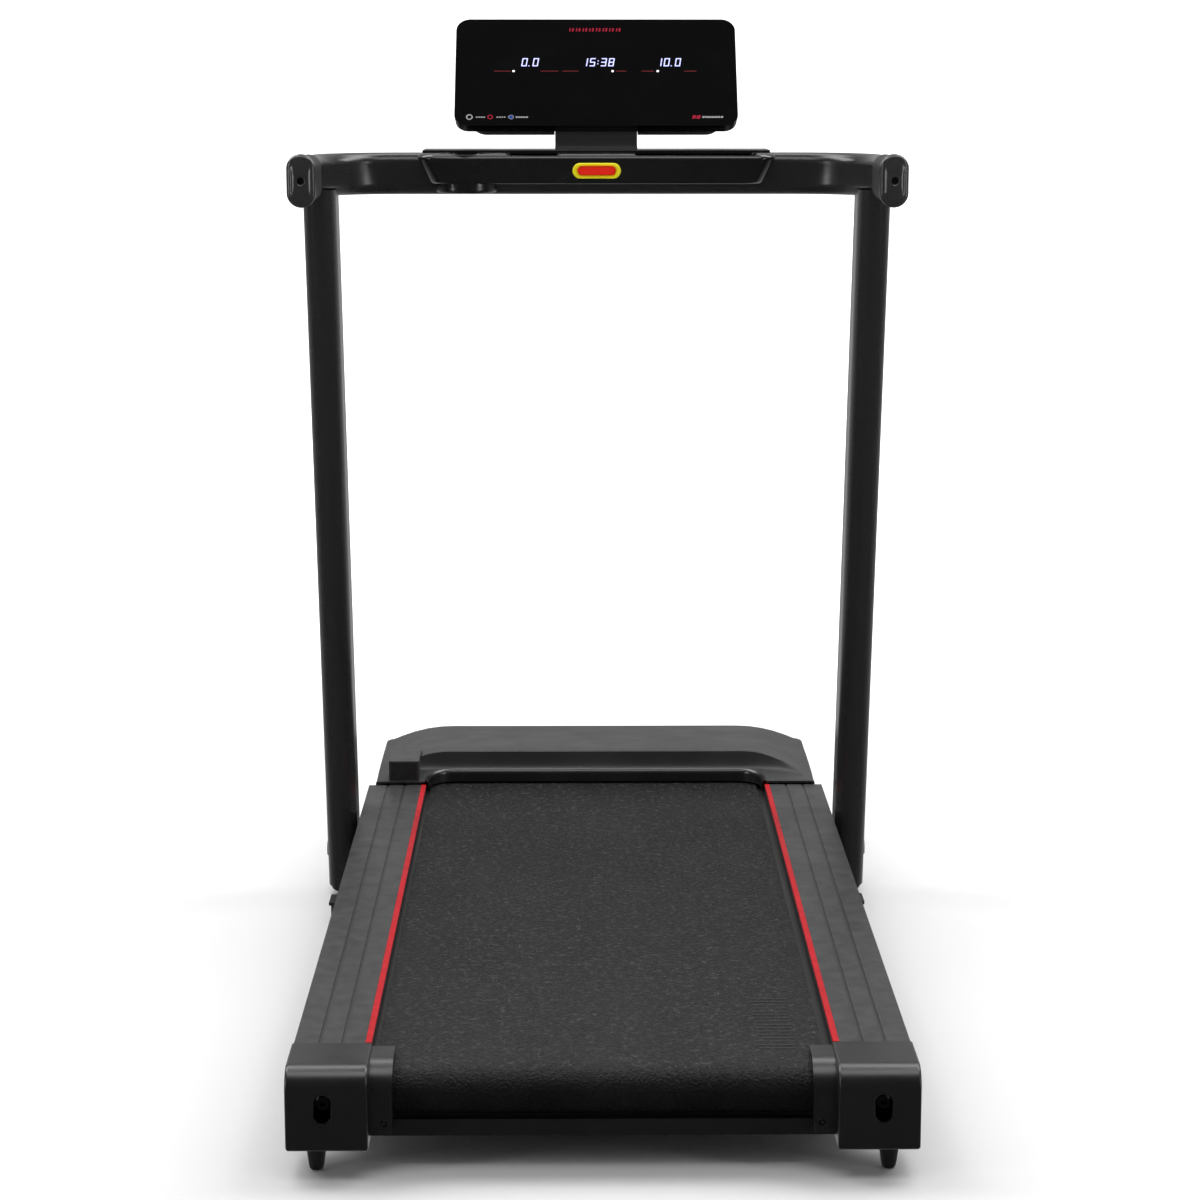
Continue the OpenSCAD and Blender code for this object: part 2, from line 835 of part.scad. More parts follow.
side_tubes();
cross_tubes();
rear_cross_tube();
front_support();
tension_brackets();
pivot_brackets();
pivot_bolts();
deck_board();
deck_cushions();
running_belt();
left_rail();
right_rail();
accent_strips();
left_end_cap();
right_end_cap();
roller_guards();
tension_bolts();
rear_feet();
front_feet();
rear_axle();
rear_roller();
rear_bearings();
front_axle();
front_roller();
front_bearings();
driven_pulley();
motor_hood();
hood_block();
hood_window();
belly_pan();
drive_motor();
motor_mount();
motor_shaft();
flywheel_fan();
drive_belt();
motor_controller();
power_inlet();
power_switch();
breaker_button();
wheel_brackets();
transport_wheels();
left_upright();
right_upright();
upright_bushes();
upright_plugs();
handlebar();
grip_sleeves();
grip_caps();
grip_screws();
saddle_bolts();
tray();
stop_ring();
stop_button();
console_neck();
hinge_pin();
console_glass();
console_rim();
console_back();
display_board();
mast_cable();
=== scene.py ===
"""Looks of a folding home treadmill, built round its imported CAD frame.

Metres, with +X to the user's right, +Y away from the user and +Z up. Shapes that are drawn in
millimetres say so, and their Y counts forward from the rear face, as in the CAD.
"""
import math

import bmesh
import bpy
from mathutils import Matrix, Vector


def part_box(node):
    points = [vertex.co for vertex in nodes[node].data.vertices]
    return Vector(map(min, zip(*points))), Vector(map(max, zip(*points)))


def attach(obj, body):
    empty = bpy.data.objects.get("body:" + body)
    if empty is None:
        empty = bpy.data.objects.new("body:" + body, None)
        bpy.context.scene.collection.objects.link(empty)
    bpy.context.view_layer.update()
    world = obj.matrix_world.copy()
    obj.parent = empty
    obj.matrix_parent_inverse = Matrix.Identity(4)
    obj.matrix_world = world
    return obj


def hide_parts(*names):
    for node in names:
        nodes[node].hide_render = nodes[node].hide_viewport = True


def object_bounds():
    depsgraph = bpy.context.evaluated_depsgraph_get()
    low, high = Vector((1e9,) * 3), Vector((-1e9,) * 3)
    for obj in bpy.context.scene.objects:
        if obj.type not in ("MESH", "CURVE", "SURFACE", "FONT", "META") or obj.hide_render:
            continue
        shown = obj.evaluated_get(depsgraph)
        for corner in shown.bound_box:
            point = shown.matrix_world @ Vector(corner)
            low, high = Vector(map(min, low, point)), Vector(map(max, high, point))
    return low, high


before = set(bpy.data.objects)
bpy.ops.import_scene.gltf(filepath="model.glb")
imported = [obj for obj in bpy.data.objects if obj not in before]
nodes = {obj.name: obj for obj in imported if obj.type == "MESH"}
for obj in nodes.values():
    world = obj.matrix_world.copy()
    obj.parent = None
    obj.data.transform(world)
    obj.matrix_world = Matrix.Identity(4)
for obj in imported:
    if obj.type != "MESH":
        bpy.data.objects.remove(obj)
cad_low, cad_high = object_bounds()
REAR = cad_low[1]
MM = 1000


def back(distance_mm):
    """Y of a distance in millimetres forward of the rear face."""
    return REAR + distance_mm / MM


# ---- Camera ----

CAMERA_BACK = 2.605
CAMERA_X = -0.025
CAMERA_Z = 1.070
CAMERA_PITCH = math.radians(10.6)
CAMERA_YAW = math.radians(0.48)
LENS_MM = 84
SENSOR_MM = 36

camera_data = bpy.data.cameras.new("camera")
camera_data.lens = LENS_MM
camera_data.sensor_width = SENSOR_MM
camera = bpy.data.objects.new("camera", camera_data)
camera.location = (CAMERA_X, REAR - CAMERA_BACK, CAMERA_Z)
camera.rotation_euler = (math.pi / 2 - CAMERA_PITCH, 0, -CAMERA_YAW)
bpy.context.scene.collection.objects.link(camera)
bpy.context.scene.camera = camera


# ---- Materials ----

class Graph:
    """A material's node tree, with short calls for the nodes used here."""

    def __init__(self, name):
        self.material = bpy.data.materials.new(name)
        self.material.use_nodes = True
        self.tree = self.material.node_tree
        self.shader = self.tree.nodes["Principled BSDF"]
        self.coords = self.tree.nodes.new("ShaderNodeTexCoord").outputs["Object"]

    def node(self, kind, inputs=None, **settings):
        made = self.tree.nodes.new(kind)
        for key, value in settings.items():
            setattr(made, key, value)
        for key, value in (inputs or {}).items():
            if isinstance(value, bpy.types.NodeSocket):
                self.tree.links.new(value, made.inputs[key])
            else:
                made.inputs[key].default_value = value
        return made

    def noise(self, scale, detail=3.0, vector=None):
        inputs = {"Vector": vector or self.coords, "Scale": scale, "Detail": detail}
        return self.node("ShaderNodeTexNoise", inputs).outputs["Fac"]

    def stretched(self, x, y, z):
        inputs = {"Vector": self.coords, "Scale": (x, y, z)}
        return self.node("ShaderNodeMapping", inputs).outputs["Vector"]

    def cells(self, scale):
        inputs = {"Vector": self.coords, "Scale": scale}
        return self.node("ShaderNodeTexVoronoi", inputs).outputs["Distance"]

    def remap(self, value, low, high, to_low=0.0, to_high=1.0):
        inputs = {"Value": value, 1: low, 2: high, 3: to_low, 4: to_high}
        return self.node("ShaderNodeMapRange", inputs).outputs["Result"]

    def mix(self, factor, a, b):
        """Blends two colours; sockets 6 and 7 and output 2 are the node's colour ones."""
        made = self.node("ShaderNodeMix", data_type="RGBA")
        for socket, value in ((0, factor), (6, a), (7, b)):
            if isinstance(value, bpy.types.NodeSocket):
                self.tree.links.new(value, made.inputs[socket])
            else:
                made.inputs[socket].default_value = value
        return made.outputs[2]

    def plus(self, a, b):
        return self.node("ShaderNodeMath", {0: a, 1: b}, operation="ADD").outputs[0]

    def times(self, a, b):
        return self.node("ShaderNodeMath", {0: a, 1: b}, operation="MULTIPLY").outputs[0]

    def edges(self):
        """0 on flat faces, rising to 1 along convex edges."""
        return self.remap(self.node("ShaderNodeNewGeometry").outputs["Pointiness"], 0.52, 0.62)

    def bump(self, height, distance):
        inputs = {"Height": height, "Distance": distance, "Strength": 1.0}
        return self.node("ShaderNodeBump", inputs).outputs["Normal"]

    def link(self, value, name):
        self.tree.links.new(value, self.shader.inputs[name])

    def set(self, name, value):
        self.shader.inputs[name].default_value = value


def rgb(color, gain=1.0):
    """A linear colour, brightened by gain, with full alpha."""
    return (color[0] * gain, color[1] * gain, color[2] * gain, 1.0)


def plastic(name, color, rough, grain, depth, worn=1.7, specular=0.5):
    """Moulded plastic: leather-fine grain, cloudy gloss and edges polished paler by handling.

    grain is the noise scale per metre, depth the grain's depth in metres, and worn how much
    brighter than the colour the edges are.
    """
    g = Graph(name)
    grain_height = g.noise(grain, 2.0)
    cloud = g.noise(7.0, 4.0)
    shade = g.mix(g.remap(cloud, 0.35, 0.7), rgb(color, 0.93), rgb(color, 1.07))
    fleck_and_glint = g.remap(grain_height, 0.45, 0.75)
    shade = g.mix(g.times(fleck_and_glint, 0.35), shade, rgb(color, 1.45))
    wear = g.times(g.edges(), g.remap(g.noise(60.0, 4.0), 0.35, 0.65))
    g.link(g.mix(wear, shade, rgb(color, worn)), "Base Color")
    g.link(g.remap(g.noise(18.0, 5.0), 0.3, 0.7, rough - 0.05, rough + 0.07), "Roughness")
    g.set("Specular IOR Level", specular)
    g.link(g.bump(grain_height, depth), "Normal")
    return g.material


def coated_steel(name, color, rough):
    """Powder-coated steel: fine orange peel over a satin coat, paler on its crests."""
    g = Graph(name)
    peel = g.noise(420.0, 2.0)
    shade = g.mix(g.remap(g.noise(5.0, 2.0), 0.3, 0.7), rgb(color, 0.96), rgb(color, 1.05))
    shade = g.mix(g.remap(peel, 0.55, 0.8), shade, rgb(color, 1.3))
    g.link(shade, "Base Color")
    g.link(g.remap(g.noise(9.0, 2.0), 0.3, 0.7, rough - 0.015, rough + 0.02), "Roughness")
    g.set("Coat Weight", 0.3)
    g.set("Coat Roughness", 0.22)
    g.link(g.bump(peel, 0.000015), "Normal")
    return g.material


def bare_metal(name, color, rough, lines=(1, 1, 1)):
    """Plated or turned metal with dull patches; lines stretches its scratches along the axes."""
    g = Graph(name)
    scratch = g.noise(500.0, 3.0, g.stretched(*lines))
    g.set("Metallic", 1.0)
    g.link(g.mix(g.remap(g.noise(30.0), 0.35, 0.7), rgb(color, 0.8), rgb(color, 1.1)), "Base Color")
    g.link(g.remap(scratch, 0.3, 0.7, rough - 0.08, rough + 0.12), "Roughness")
    g.link(g.bump(scratch, 0.00003), "Normal")
    return g.material


def rubber(name, color, grain, rough):
    """Matt rubber or foam: fine pores, and pale dust in patches."""
    g = Graph(name)
    pores = g.noise(grain, 3.0)
    dust = g.remap(g.noise(24.0, 5.0), 0.5, 0.8)
    g.link(g.mix(g.times(dust, 0.4), rgb(color), rgb(color, 2.2)), "Base Color")
    g.link(g.remap(pores, 0.3, 0.7, rough - 0.06, rough + 0.1), "Roughness")
    g.set("Specular IOR Level", 0.35)
    g.link(g.bump(pores, 0.00012), "Normal")
    return g.material


def belt_fabric(name):
    """The running belt: pebbled PVC, with pale flecks painted as glancing highlights where it lies
    flat and faces up.
    """
    g = Graph(name)
    pebble = g.cells(360.0)
    rough_noise = g.noise(240.0, 4.0)
    height = g.plus(g.remap(pebble, 0.0, 0.6, 1.0, 0.0), rough_noise)
    fleck_and_glint = g.remap(g.times(g.noise(610.0, 2.0), g.noise(150.0, 2.0)), 0.30, 0.42)
    scuff = g.remap(g.noise(9.0, 6.0, g.stretched(2.2, 0.6, 1)), 0.35, 0.75)
    base = g.mix(scuff, (0.0035, 0.0035, 0.0036, 1), (0.0068, 0.0068, 0.0070, 1))
    normal = g.node("ShaderNodeNewGeometry").outputs["Normal"]
    # Painted highlight: the pale flecks are glints of glancing light, shown only where the belt
    # faces up.
    painted_glint_facing_up = g.remap(g.node("ShaderNodeSeparateXYZ", {0: normal}).outputs["Z"], 0.8, 0.99)
    g.link(g.mix(g.times(fleck_and_glint, painted_glint_facing_up), base, (0.062, 0.062, 0.063, 1)), "Base Color")
    g.link(g.remap(rough_noise, 0.3, 0.7, 0.5, 0.72), "Roughness")
    g.set("Specular IOR Level", 0.3)
    g.link(g.bump(height, 0.0007), "Normal")
    return g.material


def glass_face(name):
    """The console's black printed glass, with faint smears in its gloss."""
    g = Graph(name)
    smear = g.noise(14.0, 6.0, g.stretched(1, 3, 1))
    g.set("Base Color", (0.0022, 0.0022, 0.0026, 1))
    g.link(g.remap(smear, 0.4, 0.7, 0.06, 0.13), "Roughness")
    g.link(g.bump(g.noise(900.0), 0.000003), "Normal")
    return g.material


def glowing(name, color, strength):
    """Lit display segments, slightly uneven from end to end."""
    g = Graph(name)
    g.set("Base Color", rgb(color, 0.4))
    g.link(g.mix(g.noise(90.0), rgb(color, 0.85), rgb(color)), "Emission Color")
    g.set("Emission Strength", strength)
    g.set("Roughness", 0.3)
    return g.material


def board_face(name):
    """Black phenolic-faced board, waxed, with streaks along the deck."""
    g = Graph(name)
    streak = g.noise(40.0, 5.0, g.stretched(1, 0.08, 1))
    g.link(g.mix(streak, (0.006, 0.006, 0.0062, 1), (0.012, 0.0115, 0.011, 1)), "Base Color")
    g.link(g.remap(streak, 0.3, 0.7, 0.35, 0.55), "Roughness")
    g.link(g.bump(streak, 0.00008), "Normal")
    return g.material


def circuit(name):
    """Green solder mask with copper tracks."""
    g = Graph(name)
    track = g.remap(g.noise(130.0, 0.0, g.stretched(1, 0.15, 1)), 0.52, 0.56)
    g.link(g.mix(track, (0.01, 0.06, 0.02, 1), (0.03, 0.16, 0.05, 1)), "Base Color")
    g.set("Roughness", 0.4)
    g.link(g.bump(track, 0.00005), "Normal")
    return g.material


def studio_paper(name):
    """White paper sweep that glows more the farther back it lies, as a lit backdrop does."""
    g = Graph(name)
    fibre = g.noise(300.0, 4.0)
    g.link(g.mix(fibre, (0.80, 0.80, 0.80, 1), (0.83, 0.83, 0.83, 1)), "Base Color")
    g.set("Roughness", 0.8)
    g.set("Specular IOR Level", 0.1)
    g.link(g.bump(fibre, 0.00002), "Normal")
    g.set("Emission Color", (1, 1, 1, 1))
    depth = g.node("ShaderNodeSeparateXYZ", {"Vector": g.coords}).outputs["Y"]
    g.link(g.remap(depth, 0.55, 3.0, 0.0, 1.0), "Emission Strength")
    return g.material


# Colours are linear. The numbers after them are in the order of each function's arguments.
STEEL_BLACK = coated_steel("steel_black", (0.021, 0.021, 0.0213), 0.25)
FRAME_STEEL = coated_steel("frame_steel", (0.022, 0.022, 0.024), 0.42)
# Painted shade: a darker copy of the frame steel, for the rear cross tube in the shade under the
# roller.
SHADED_FRAME_STEEL = coated_steel("frame_steel_painted_shade", (0.009, 0.009, 0.0095), 0.42)
NECK_STEEL = coated_steel("neck_steel", (0.092, 0.0925, 0.0935), 0.32)
RAIL = plastic("rail_plastic", (0.027, 0.0273, 0.028), 0.42, 700, 0.00004)
HOOD = plastic("hood_plastic", (0.037, 0.0373, 0.0382), 0.46, 1100, 0.00006, 1.3)
BLOCK = plastic("block_plastic", (0.036, 0.0363, 0.0372), 0.46, 1100, 0.00006, 1.3)
CAP = plastic("cap_plastic", (0.008, 0.008, 0.0084), 0.30, 800, 0.00002, 1.3, 0.9)
GRIP_CAP = plastic("grip_cap_plastic", (0.030, 0.030, 0.0306), 0.22, 800, 0.00002, 1.3, 0.8)
TRAY = plastic("tray_plastic", (0.007, 0.007, 0.0074), 0.22, 1000, 0.00002, 1.4, 0.8)
CONSOLE_SHELL = plastic("console_plastic", (0.13, 0.131, 0.133), 0.46, 1100, 0.00005, 1.2)
PAN = plastic("pan_plastic", (0.02, 0.02, 0.021), 0.55, 500, 0.0001)
ACCENT = plastic("accent_red", (0.40, 0.004, 0.010), 0.5, 1200, 0.00002, 1.2, 0.2)
RING_YELLOW = plastic("ring_yellow", (0.92, 0.84, 0.008), 0.35, 1200, 0.00002, 1.1)
STOP_RED = plastic("stop_red", (0.95, 0.020, 0.008), 0.3, 1200, 0.00002, 1.2)
SWITCH_RED = plastic("switch_red", (0.45, 0.015, 0.015), 0.3, 1200, 0.00002, 1.2)
SMOKED = plastic("smoked_window", (0.019, 0.018, 0.018), 0.24, 400, 0.00001, 1.5)
MOTOR = plastic("motor_enamel", (0.16, 0.165, 0.17), 0.38, 300, 0.00004, 1.5)
# Partly painted sheen: the foam's own dark grey is raised to stand in for the soft sheen of light
# on the grips.
GRIP_FOAM_AND_SHEEN = rubber("grip_foam_and_painted_sheen", (0.020, 0.020, 0.0205), 900, 0.5)
FOOT = rubber("foot_rubber", (0.016, 0.016, 0.017), 600, 0.6)
BLACK_RUBBER = rubber("black_rubber", (0.014, 0.014, 0.015), 500, 0.65)
ZINC = bare_metal("zinc_steel", (0.62, 0.63, 0.66), 0.28, (8, 1, 1))
BOLT = bare_metal("black_bolt", (0.05, 0.05, 0.052), 0.35)
CAST = bare_metal("turned_iron", (0.32, 0.32, 0.33), 0.4, (12, 1, 1))
BRONZE = bare_metal("bronze", (0.55, 0.36, 0.16), 0.35, (10, 1, 1))
BELT = belt_fabric("belt_pvc")
GLASS = glass_face("console_face")
BOARD = board_face("deck_board")
CIRCUIT = circuit("circuit_board")
DIGIT = glowing("digit_light", (0.50, 0.52, 0.98), 1.7)
MARK = glowing("mark_red", (0.40, 0.02, 0.025), 0.14)
DOT = glowing("dot_white", (0.9, 0.9, 0.92), 1.2)
PRINT = plastic("pale_print", (0.36, 0.36, 0.37), 0.5, 900, 0.00001, 1.1, 0.2)
PRINT_RED = plastic("red_print", (0.30, 0.006, 0.024), 0.5, 900, 0.00001, 1.1, 0.1)
PRINT_BLUE = plastic("blue_print", (0.01, 0.05, 0.26), 0.5, 900, 0.00001, 1.1, 0.1)
BELT_PRINT = rubber("belt_print", (0.021, 0.021, 0.0212), 450, 0.6)


# ---- Frame pieces that keep their CAD shape ----

FLAT_WITHIN = math.radians(0.5)
BEVEL_ABOVE = math.radians(32)
BEVEL_SEGMENTS = 3


def dress(name, material, bevel):
    """A CAD node gets its material and, where bevel isn't 0, a true radius on its sharp edges."""
    piece = nodes[name]
    piece.data.materials.clear()
    piece.data.materials.append(material)
    if bevel:
        flat = piece.modifiers.new("flat", "DECIMATE")
        flat.decimate_type = "DISSOLVE"
        flat.angle_limit = FLAT_WITHIN
        rounding = piece.modifiers.new("rounding", "BEVEL")
        rounding.width = bevel
        rounding.segments = BEVEL_SEGMENTS
        rounding.limit_method = "ANGLE"
        rounding.angle_limit = BEVEL_ABOVE
    smooth = piece.modifiers.new("even_normals", "WEIGHTED_NORMAL")
    smooth.keep_sharp = True


# CAD node: (material, edge radius in metres).
DRESSED = {
    "side_tubes": (FRAME_STEEL, 0.002),
    "cross_tubes": (FRAME_STEEL, 0.002),
    # Painted shade: the rear cross tube takes the darker copy of the frame steel.
    "rear_cross_tube": (SHADED_FRAME_STEEL, 0.002),
    "front_support": (FRAME_STEEL, 0.0015),
    "tension_brackets": (FRAME_STEEL, 0.0008),
    "pivot_brackets": (FRAME_STEEL, 0.001),
    "pivot_bolts": (BOLT, 0.001),
    "deck_board": (BOARD, 0.0015),
    "deck_cushions": (BLACK_RUBBER, 0.001),
    "running_belt": (BELT, 0.0),
    "left_rail": (RAIL, 0.0012),
    "right_rail": (RAIL, 0.0012),
    "accent_strips": (ACCENT, 0.0006),
    "roller_guards": (CAP, 0.0012),
    "tension_bolts": (BOLT, 0.0008),
    "front_feet": (FOOT, 0.0015),
    "rear_axle": (ZINC, 0.0008),
    "rear_roller": (ZINC, 0.0008),
    "rear_bearings": (ZINC, 0.0005),
    "front_axle": (ZINC, 0.0008),
    "front_roller": (ZINC, 0.0008),
    "front_bearings": (ZINC, 0.0005),
    "driven_pulley": (CAST, 0.0008),
    "hood_block": (BLOCK, 0.002),
    "hood_window": (SMOKED, 0.0004),
    "belly_pan": (PAN, 0.0008),
    "drive_motor": (MOTOR, 0.0015),
    "motor_mount": (FRAME_STEEL, 0.0008),
    "motor_shaft": (ZINC, 0.0006),
    "flywheel_fan": (CAST, 0.0005),
    "drive_belt": (BLACK_RUBBER, 0.0003),
    "motor_controller": (CIRCUIT, 0.0006),
    "power_inlet": (CAP, 0.0006),
    "power_switch": (SWITCH_RED, 0.0012),
    "breaker_button": (CAP, 0.0006),
    "wheel_brackets": (FRAME_STEEL, 0.0006),
    "transport_wheels": (BLACK_RUBBER, 0.0025),
    "left_upright": (STEEL_BLACK, 0.0),
    "right_upright": (STEEL_BLACK, 0.0),
    "upright_bushes": (BRONZE, 0.0),
    "upright_plugs": (CAP, 0.0025),
    "handlebar": (STEEL_BLACK, 0.0),
    # Partly painted sheen: the grip sleeves' colour also stands in for sheen of light.
    "grip_sleeves": (GRIP_FOAM_AND_SHEEN, 0.0015),
    "grip_screws": (BOLT, 0.0006),
    "saddle_bolts": (BOLT, 0.0008),
    "stop_button": (STOP_RED, 0.0012),
    "console_neck": (NECK_STEEL, 0.0012),
    "hinge_pin": (ZINC, 0.0006),
    "console_glass": (GLASS, 0.0012),
    "console_rim": (TRAY, 0.0015),
    "console_back": (CONSOLE_SHELL, 0.003),
    "display_board": (CIRCUIT, 0.0),
    "mast_cable": (BLACK_RUBBER, 0.0),
}
for node_name, (material, bevel) in DRESSED.items():
    dress(node_name, material, bevel)


# ---- Mesh helpers ----

SAME_POINT = 1e-6


def make(name, verts, faces, material, body, slot, replaced=(), smooth=True):
    """A finished piece: a clean mesh with its material and body, hiding the CAD node it replaces;
    slot is not used.
    """
    mesh = bpy.data.meshes.new(name)
    mesh.from_pydata(verts, [], faces)
    mesh.materials.append(material)
    cleaned = bmesh.new()
    cleaned.from_mesh(mesh)
    unused = [vert for vert in cleaned.verts if not vert.link_faces]
    bmesh.ops.delete(cleaned, geom=unused, context="VERTS")
    bmesh.ops.remove_doubles(cleaned, verts=cleaned.verts, dist=SAME_POINT)
    bmesh.ops.recalc_face_normals(cleaned, faces=cleaned.faces)
    cleaned.to_mesh(mesh)
    cleaned.free()
    for face in mesh.polygons:
        face.use_smooth = smooth
    piece = bpy.data.objects.new(name, mesh)
    bpy.context.scene.collection.objects.link(piece)
    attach(piece, body)
    if replaced:
        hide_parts(*replaced)
    return piece


def grid_faces(rows, columns, wrap=False):
    """Quads between rows of points; with wrap each row is a closed ring."""
    faces = []
    for i in range(rows - 1):
        this, following = i * columns, (i + 1) * columns
        for j in range(columns - (0 if wrap else 1)):
            k = (j + 1) % columns
            faces.append((this + j, this + k, following + k, following + j))
    return faces


def ring_face(row, columns):
    """The face that closes a grid of rings at one of its rows."""
    return tuple(range(row * columns, (row + 1) * columns))


def apply_modifiers(piece):
    evaluated = piece.evaluated_get(bpy.context.evaluated_depsgraph_get())
    mesh = bpy.data.meshes.new_from_object(evaluated)
    piece.modifiers.clear()
    piece.data = mesh


def combine(piece, tool, operation):
    """Joins a closed tool to a closed piece, or cuts it out, and keeps only the result."""
    step = piece.modifiers.new("combine", "BOOLEAN")
    step.operation = operation
    step.solver = "EXACT"
    step.object = tool
    apply_modifiers(piece)
    bpy.data.objects.remove(tool)


def sharpen(piece, degrees):
    """Smooth shading that breaks where faces meet at more than the angle."""
    for face in piece.data.polygons:
        face.use_smooth = True
    piece.data.set_sharp_from_angle(angle=math.radians(degrees))
    normals = piece.modifiers.new("even_normals", "WEIGHTED_NORMAL")
    normals.keep_sharp = True


def loose_solid(name, verts, faces):
    """A closed solid that belongs to no body yet."""
    mesh = bpy.data.meshes.new(name)
    mesh.from_pydata(verts, [], faces)
    turned = bmesh.new()
    turned.from_mesh(mesh)
    bmesh.ops.recalc_face_normals(turned, faces=turned.faces)
    turned.to_mesh(mesh)
    turned.free()
    piece = bpy.data.objects.new(name, mesh)
    bpy.context.scene.collection.objects.link(piece)
    return piece


def cutter_box(low, high, gap):
    """A box wider and taller by gap than the given one, whose Y passes through the front wall."""
    xs, zs = (low[0] - gap, high[0] + gap), (low[2] - gap, high[2] + gap)
    ys = (high[1] - 0.008, high[1] + 0.02)
    verts = [(x, y, z) for x in xs for y in ys for z in zs]
    faces = [(0, 1, 3, 2), (4, 6, 7, 5), (0, 4, 5, 1), (2, 3, 7, 6), (0, 2, 6, 4), (1, 5, 7, 3)]
    return loose_solid("cutter", verts, faces)


# ---- Motor hood, in millimetres ----

FLANGE_REAR, FLANGE_RISE, FLANGE_RUN = 119, 4, 225
TIER_RUN = 40
TOP_REAR, TOP_FALL, TOP_FALL_FROM, TOP_FALL_RUN = 148, 7, 1200, 170
SHOULDER_FROM, SHOULDER_RUN = 207, 81
HOOD_REAR, HOOD_FRONT = 1125, 1370
LIP_FOOT, WALL_MIDDLE, WALL_FOOT, WALL_TUCK = 107.5, 90, 34, 31
LIP_ROUND, TOP_ROUND, CREST_ROUND = 5, 6.0, 1.4
LIP_ROWS = 5
PATH_REAR = 1125.4
CORNER_POINTS, ACROSS_POINTS = 19, 30
LIP_THICKNESS, SHELL_THICKNESS = 0.0022, 0.0026

# How far the sweep has risen (second) at parts of the way from the lip to the riser (first).
SWEEP = ((0.35, 0.0), (0.45, 0.01), (0.55, 0.03), (0.65, 0.075), (0.74, 0.15), (0.82, 0.27),
         (0.89, 0.44), (0.95, 0.68))
TOP_STATIONS = (0.13, 0.2, 0.3, 0.4, 0.5, 0.6, 0.7, 0.78, 0.85, 0.91)

# CAD node in the hood's front wall: how much wider than the node its opening is, in metres.
FRONT_OPENINGS = (("power_inlet", -0.0030), ("power_switch", 0.0008), ("breaker_button", 0.0005))


def swept_path(half_width, side_end, front, radius, side_steps):
    """From the left rear end, round both corners, to the right rear end."""
    points = []
    for i in range(side_steps):
        points.append((-half_width, PATH_REAR + (side_end - PATH_REAR) * i / side_steps))
    round_steps = CORNER_POINTS - side_steps
    for i in range(round_steps):
        a = math.radians(90 * i / round_steps)
        x = -half_width + radius * (1 - math.cos(a))
        points.append((x, side_end + (front - side_end) * math.sin(a)))
    inner = half_width - radius
    for i in range(ACROSS_POINTS + 1):
        points.append((-inner + 2 * inner * i / ACROSS_POINTS, front))
    return points + [(-x, y) for x, y in reversed(points[:CORNER_POINTS])]


def clamp(value):
    return min(1.0, max(0.0, value))


def hood_height(x, y):
    """Height of the hood's upper surface: a flat top, shoulders and flanges."""
    flange = FLANGE_REAR + FLANGE_RISE * clamp((y - HOOD_REAR) / FLANGE_RUN)
    top = TOP_REAR - TOP_FALL * clamp((y - TOP_FALL_FROM) / TOP_FALL_RUN)
    return top - (top - flange) * clamp((abs(x) - SHOULDER_FROM) / SHOULDER_RUN) ** 2


def tier_height(y):
    """Height of the lower tier behind the lip."""
    return FLANGE_REAR + FLANGE_RISE * clamp((y - HOOD_REAR) / TIER_RUN)


def between(a, b, t):
    """The plan point a part t of the way from a to b."""
    return a[0] + (b[0] - a[0]) * t, a[1] + (b[1] - a[1]) * t


def hood_section(lip, riser, outer):
    """Points (plan point, height) across the hood, from under the lip to the foot of the wall."""
    deck = math.dist(riser, outer)
    run = math.dist(lip, riser)
    lip_edge = tier_height(lip[1]) - LIP_ROUND
    crest = hood_height(*riser)
    soft = CREST_ROUND * clamp((crest - lip_edge - LIP_ROUND) / 6)
    section = [(lip, LIP_FOOT), (lip, lip_edge)]
    for step in (30, 60, 90):
        a = math.radians(step)
        spot = between(lip, riser, min(0.3, 4 * (1 - math.cos(a)) / run))
        section.append((spot, lip_edge + LIP_ROUND * math.sin(a)))
    for t, rise in SWEEP:
        spot = between(lip, riser, t)
        base = tier_height(spot[1])
        section.append((spot, base + (crest - soft - base) * rise))
    section.append((riser, crest - soft))
    section.append((between(riser, outer, min(0.1, 1.5 / deck)), crest - soft * 0.15))
    edge = min(TOP_ROUND, deck * 0.45)
    for t in TOP_STATIONS:
        spot = between(riser, outer, t * (1 - edge / deck))
        section.append((spot, hood_height(*spot)))
    for step in (0, 18, 36, 54, 72, 90):
        a = math.radians(step)
        spot = between(riser, outer, 1 - edge * (1 - math.sin(a)) / deck)
        section.append((spot, hood_height(*spot) - edge * (1 - math.cos(a))))
    section.append((outer, WALL_MIDDLE))
    section.append((outer, WALL_FOOT))
    section.append((between(outer, riser, min(0.1, 2.5 / deck)), WALL_TUCK))
    return section


def thicken(piece, thickness):
    """Gives a sheet its wall, which grows inward."""
    wall = piece.modifiers.new("thickness", "SOLIDIFY")
    wall.thickness = thickness
    wall.offset = -1
    apply_modifiers(piece)


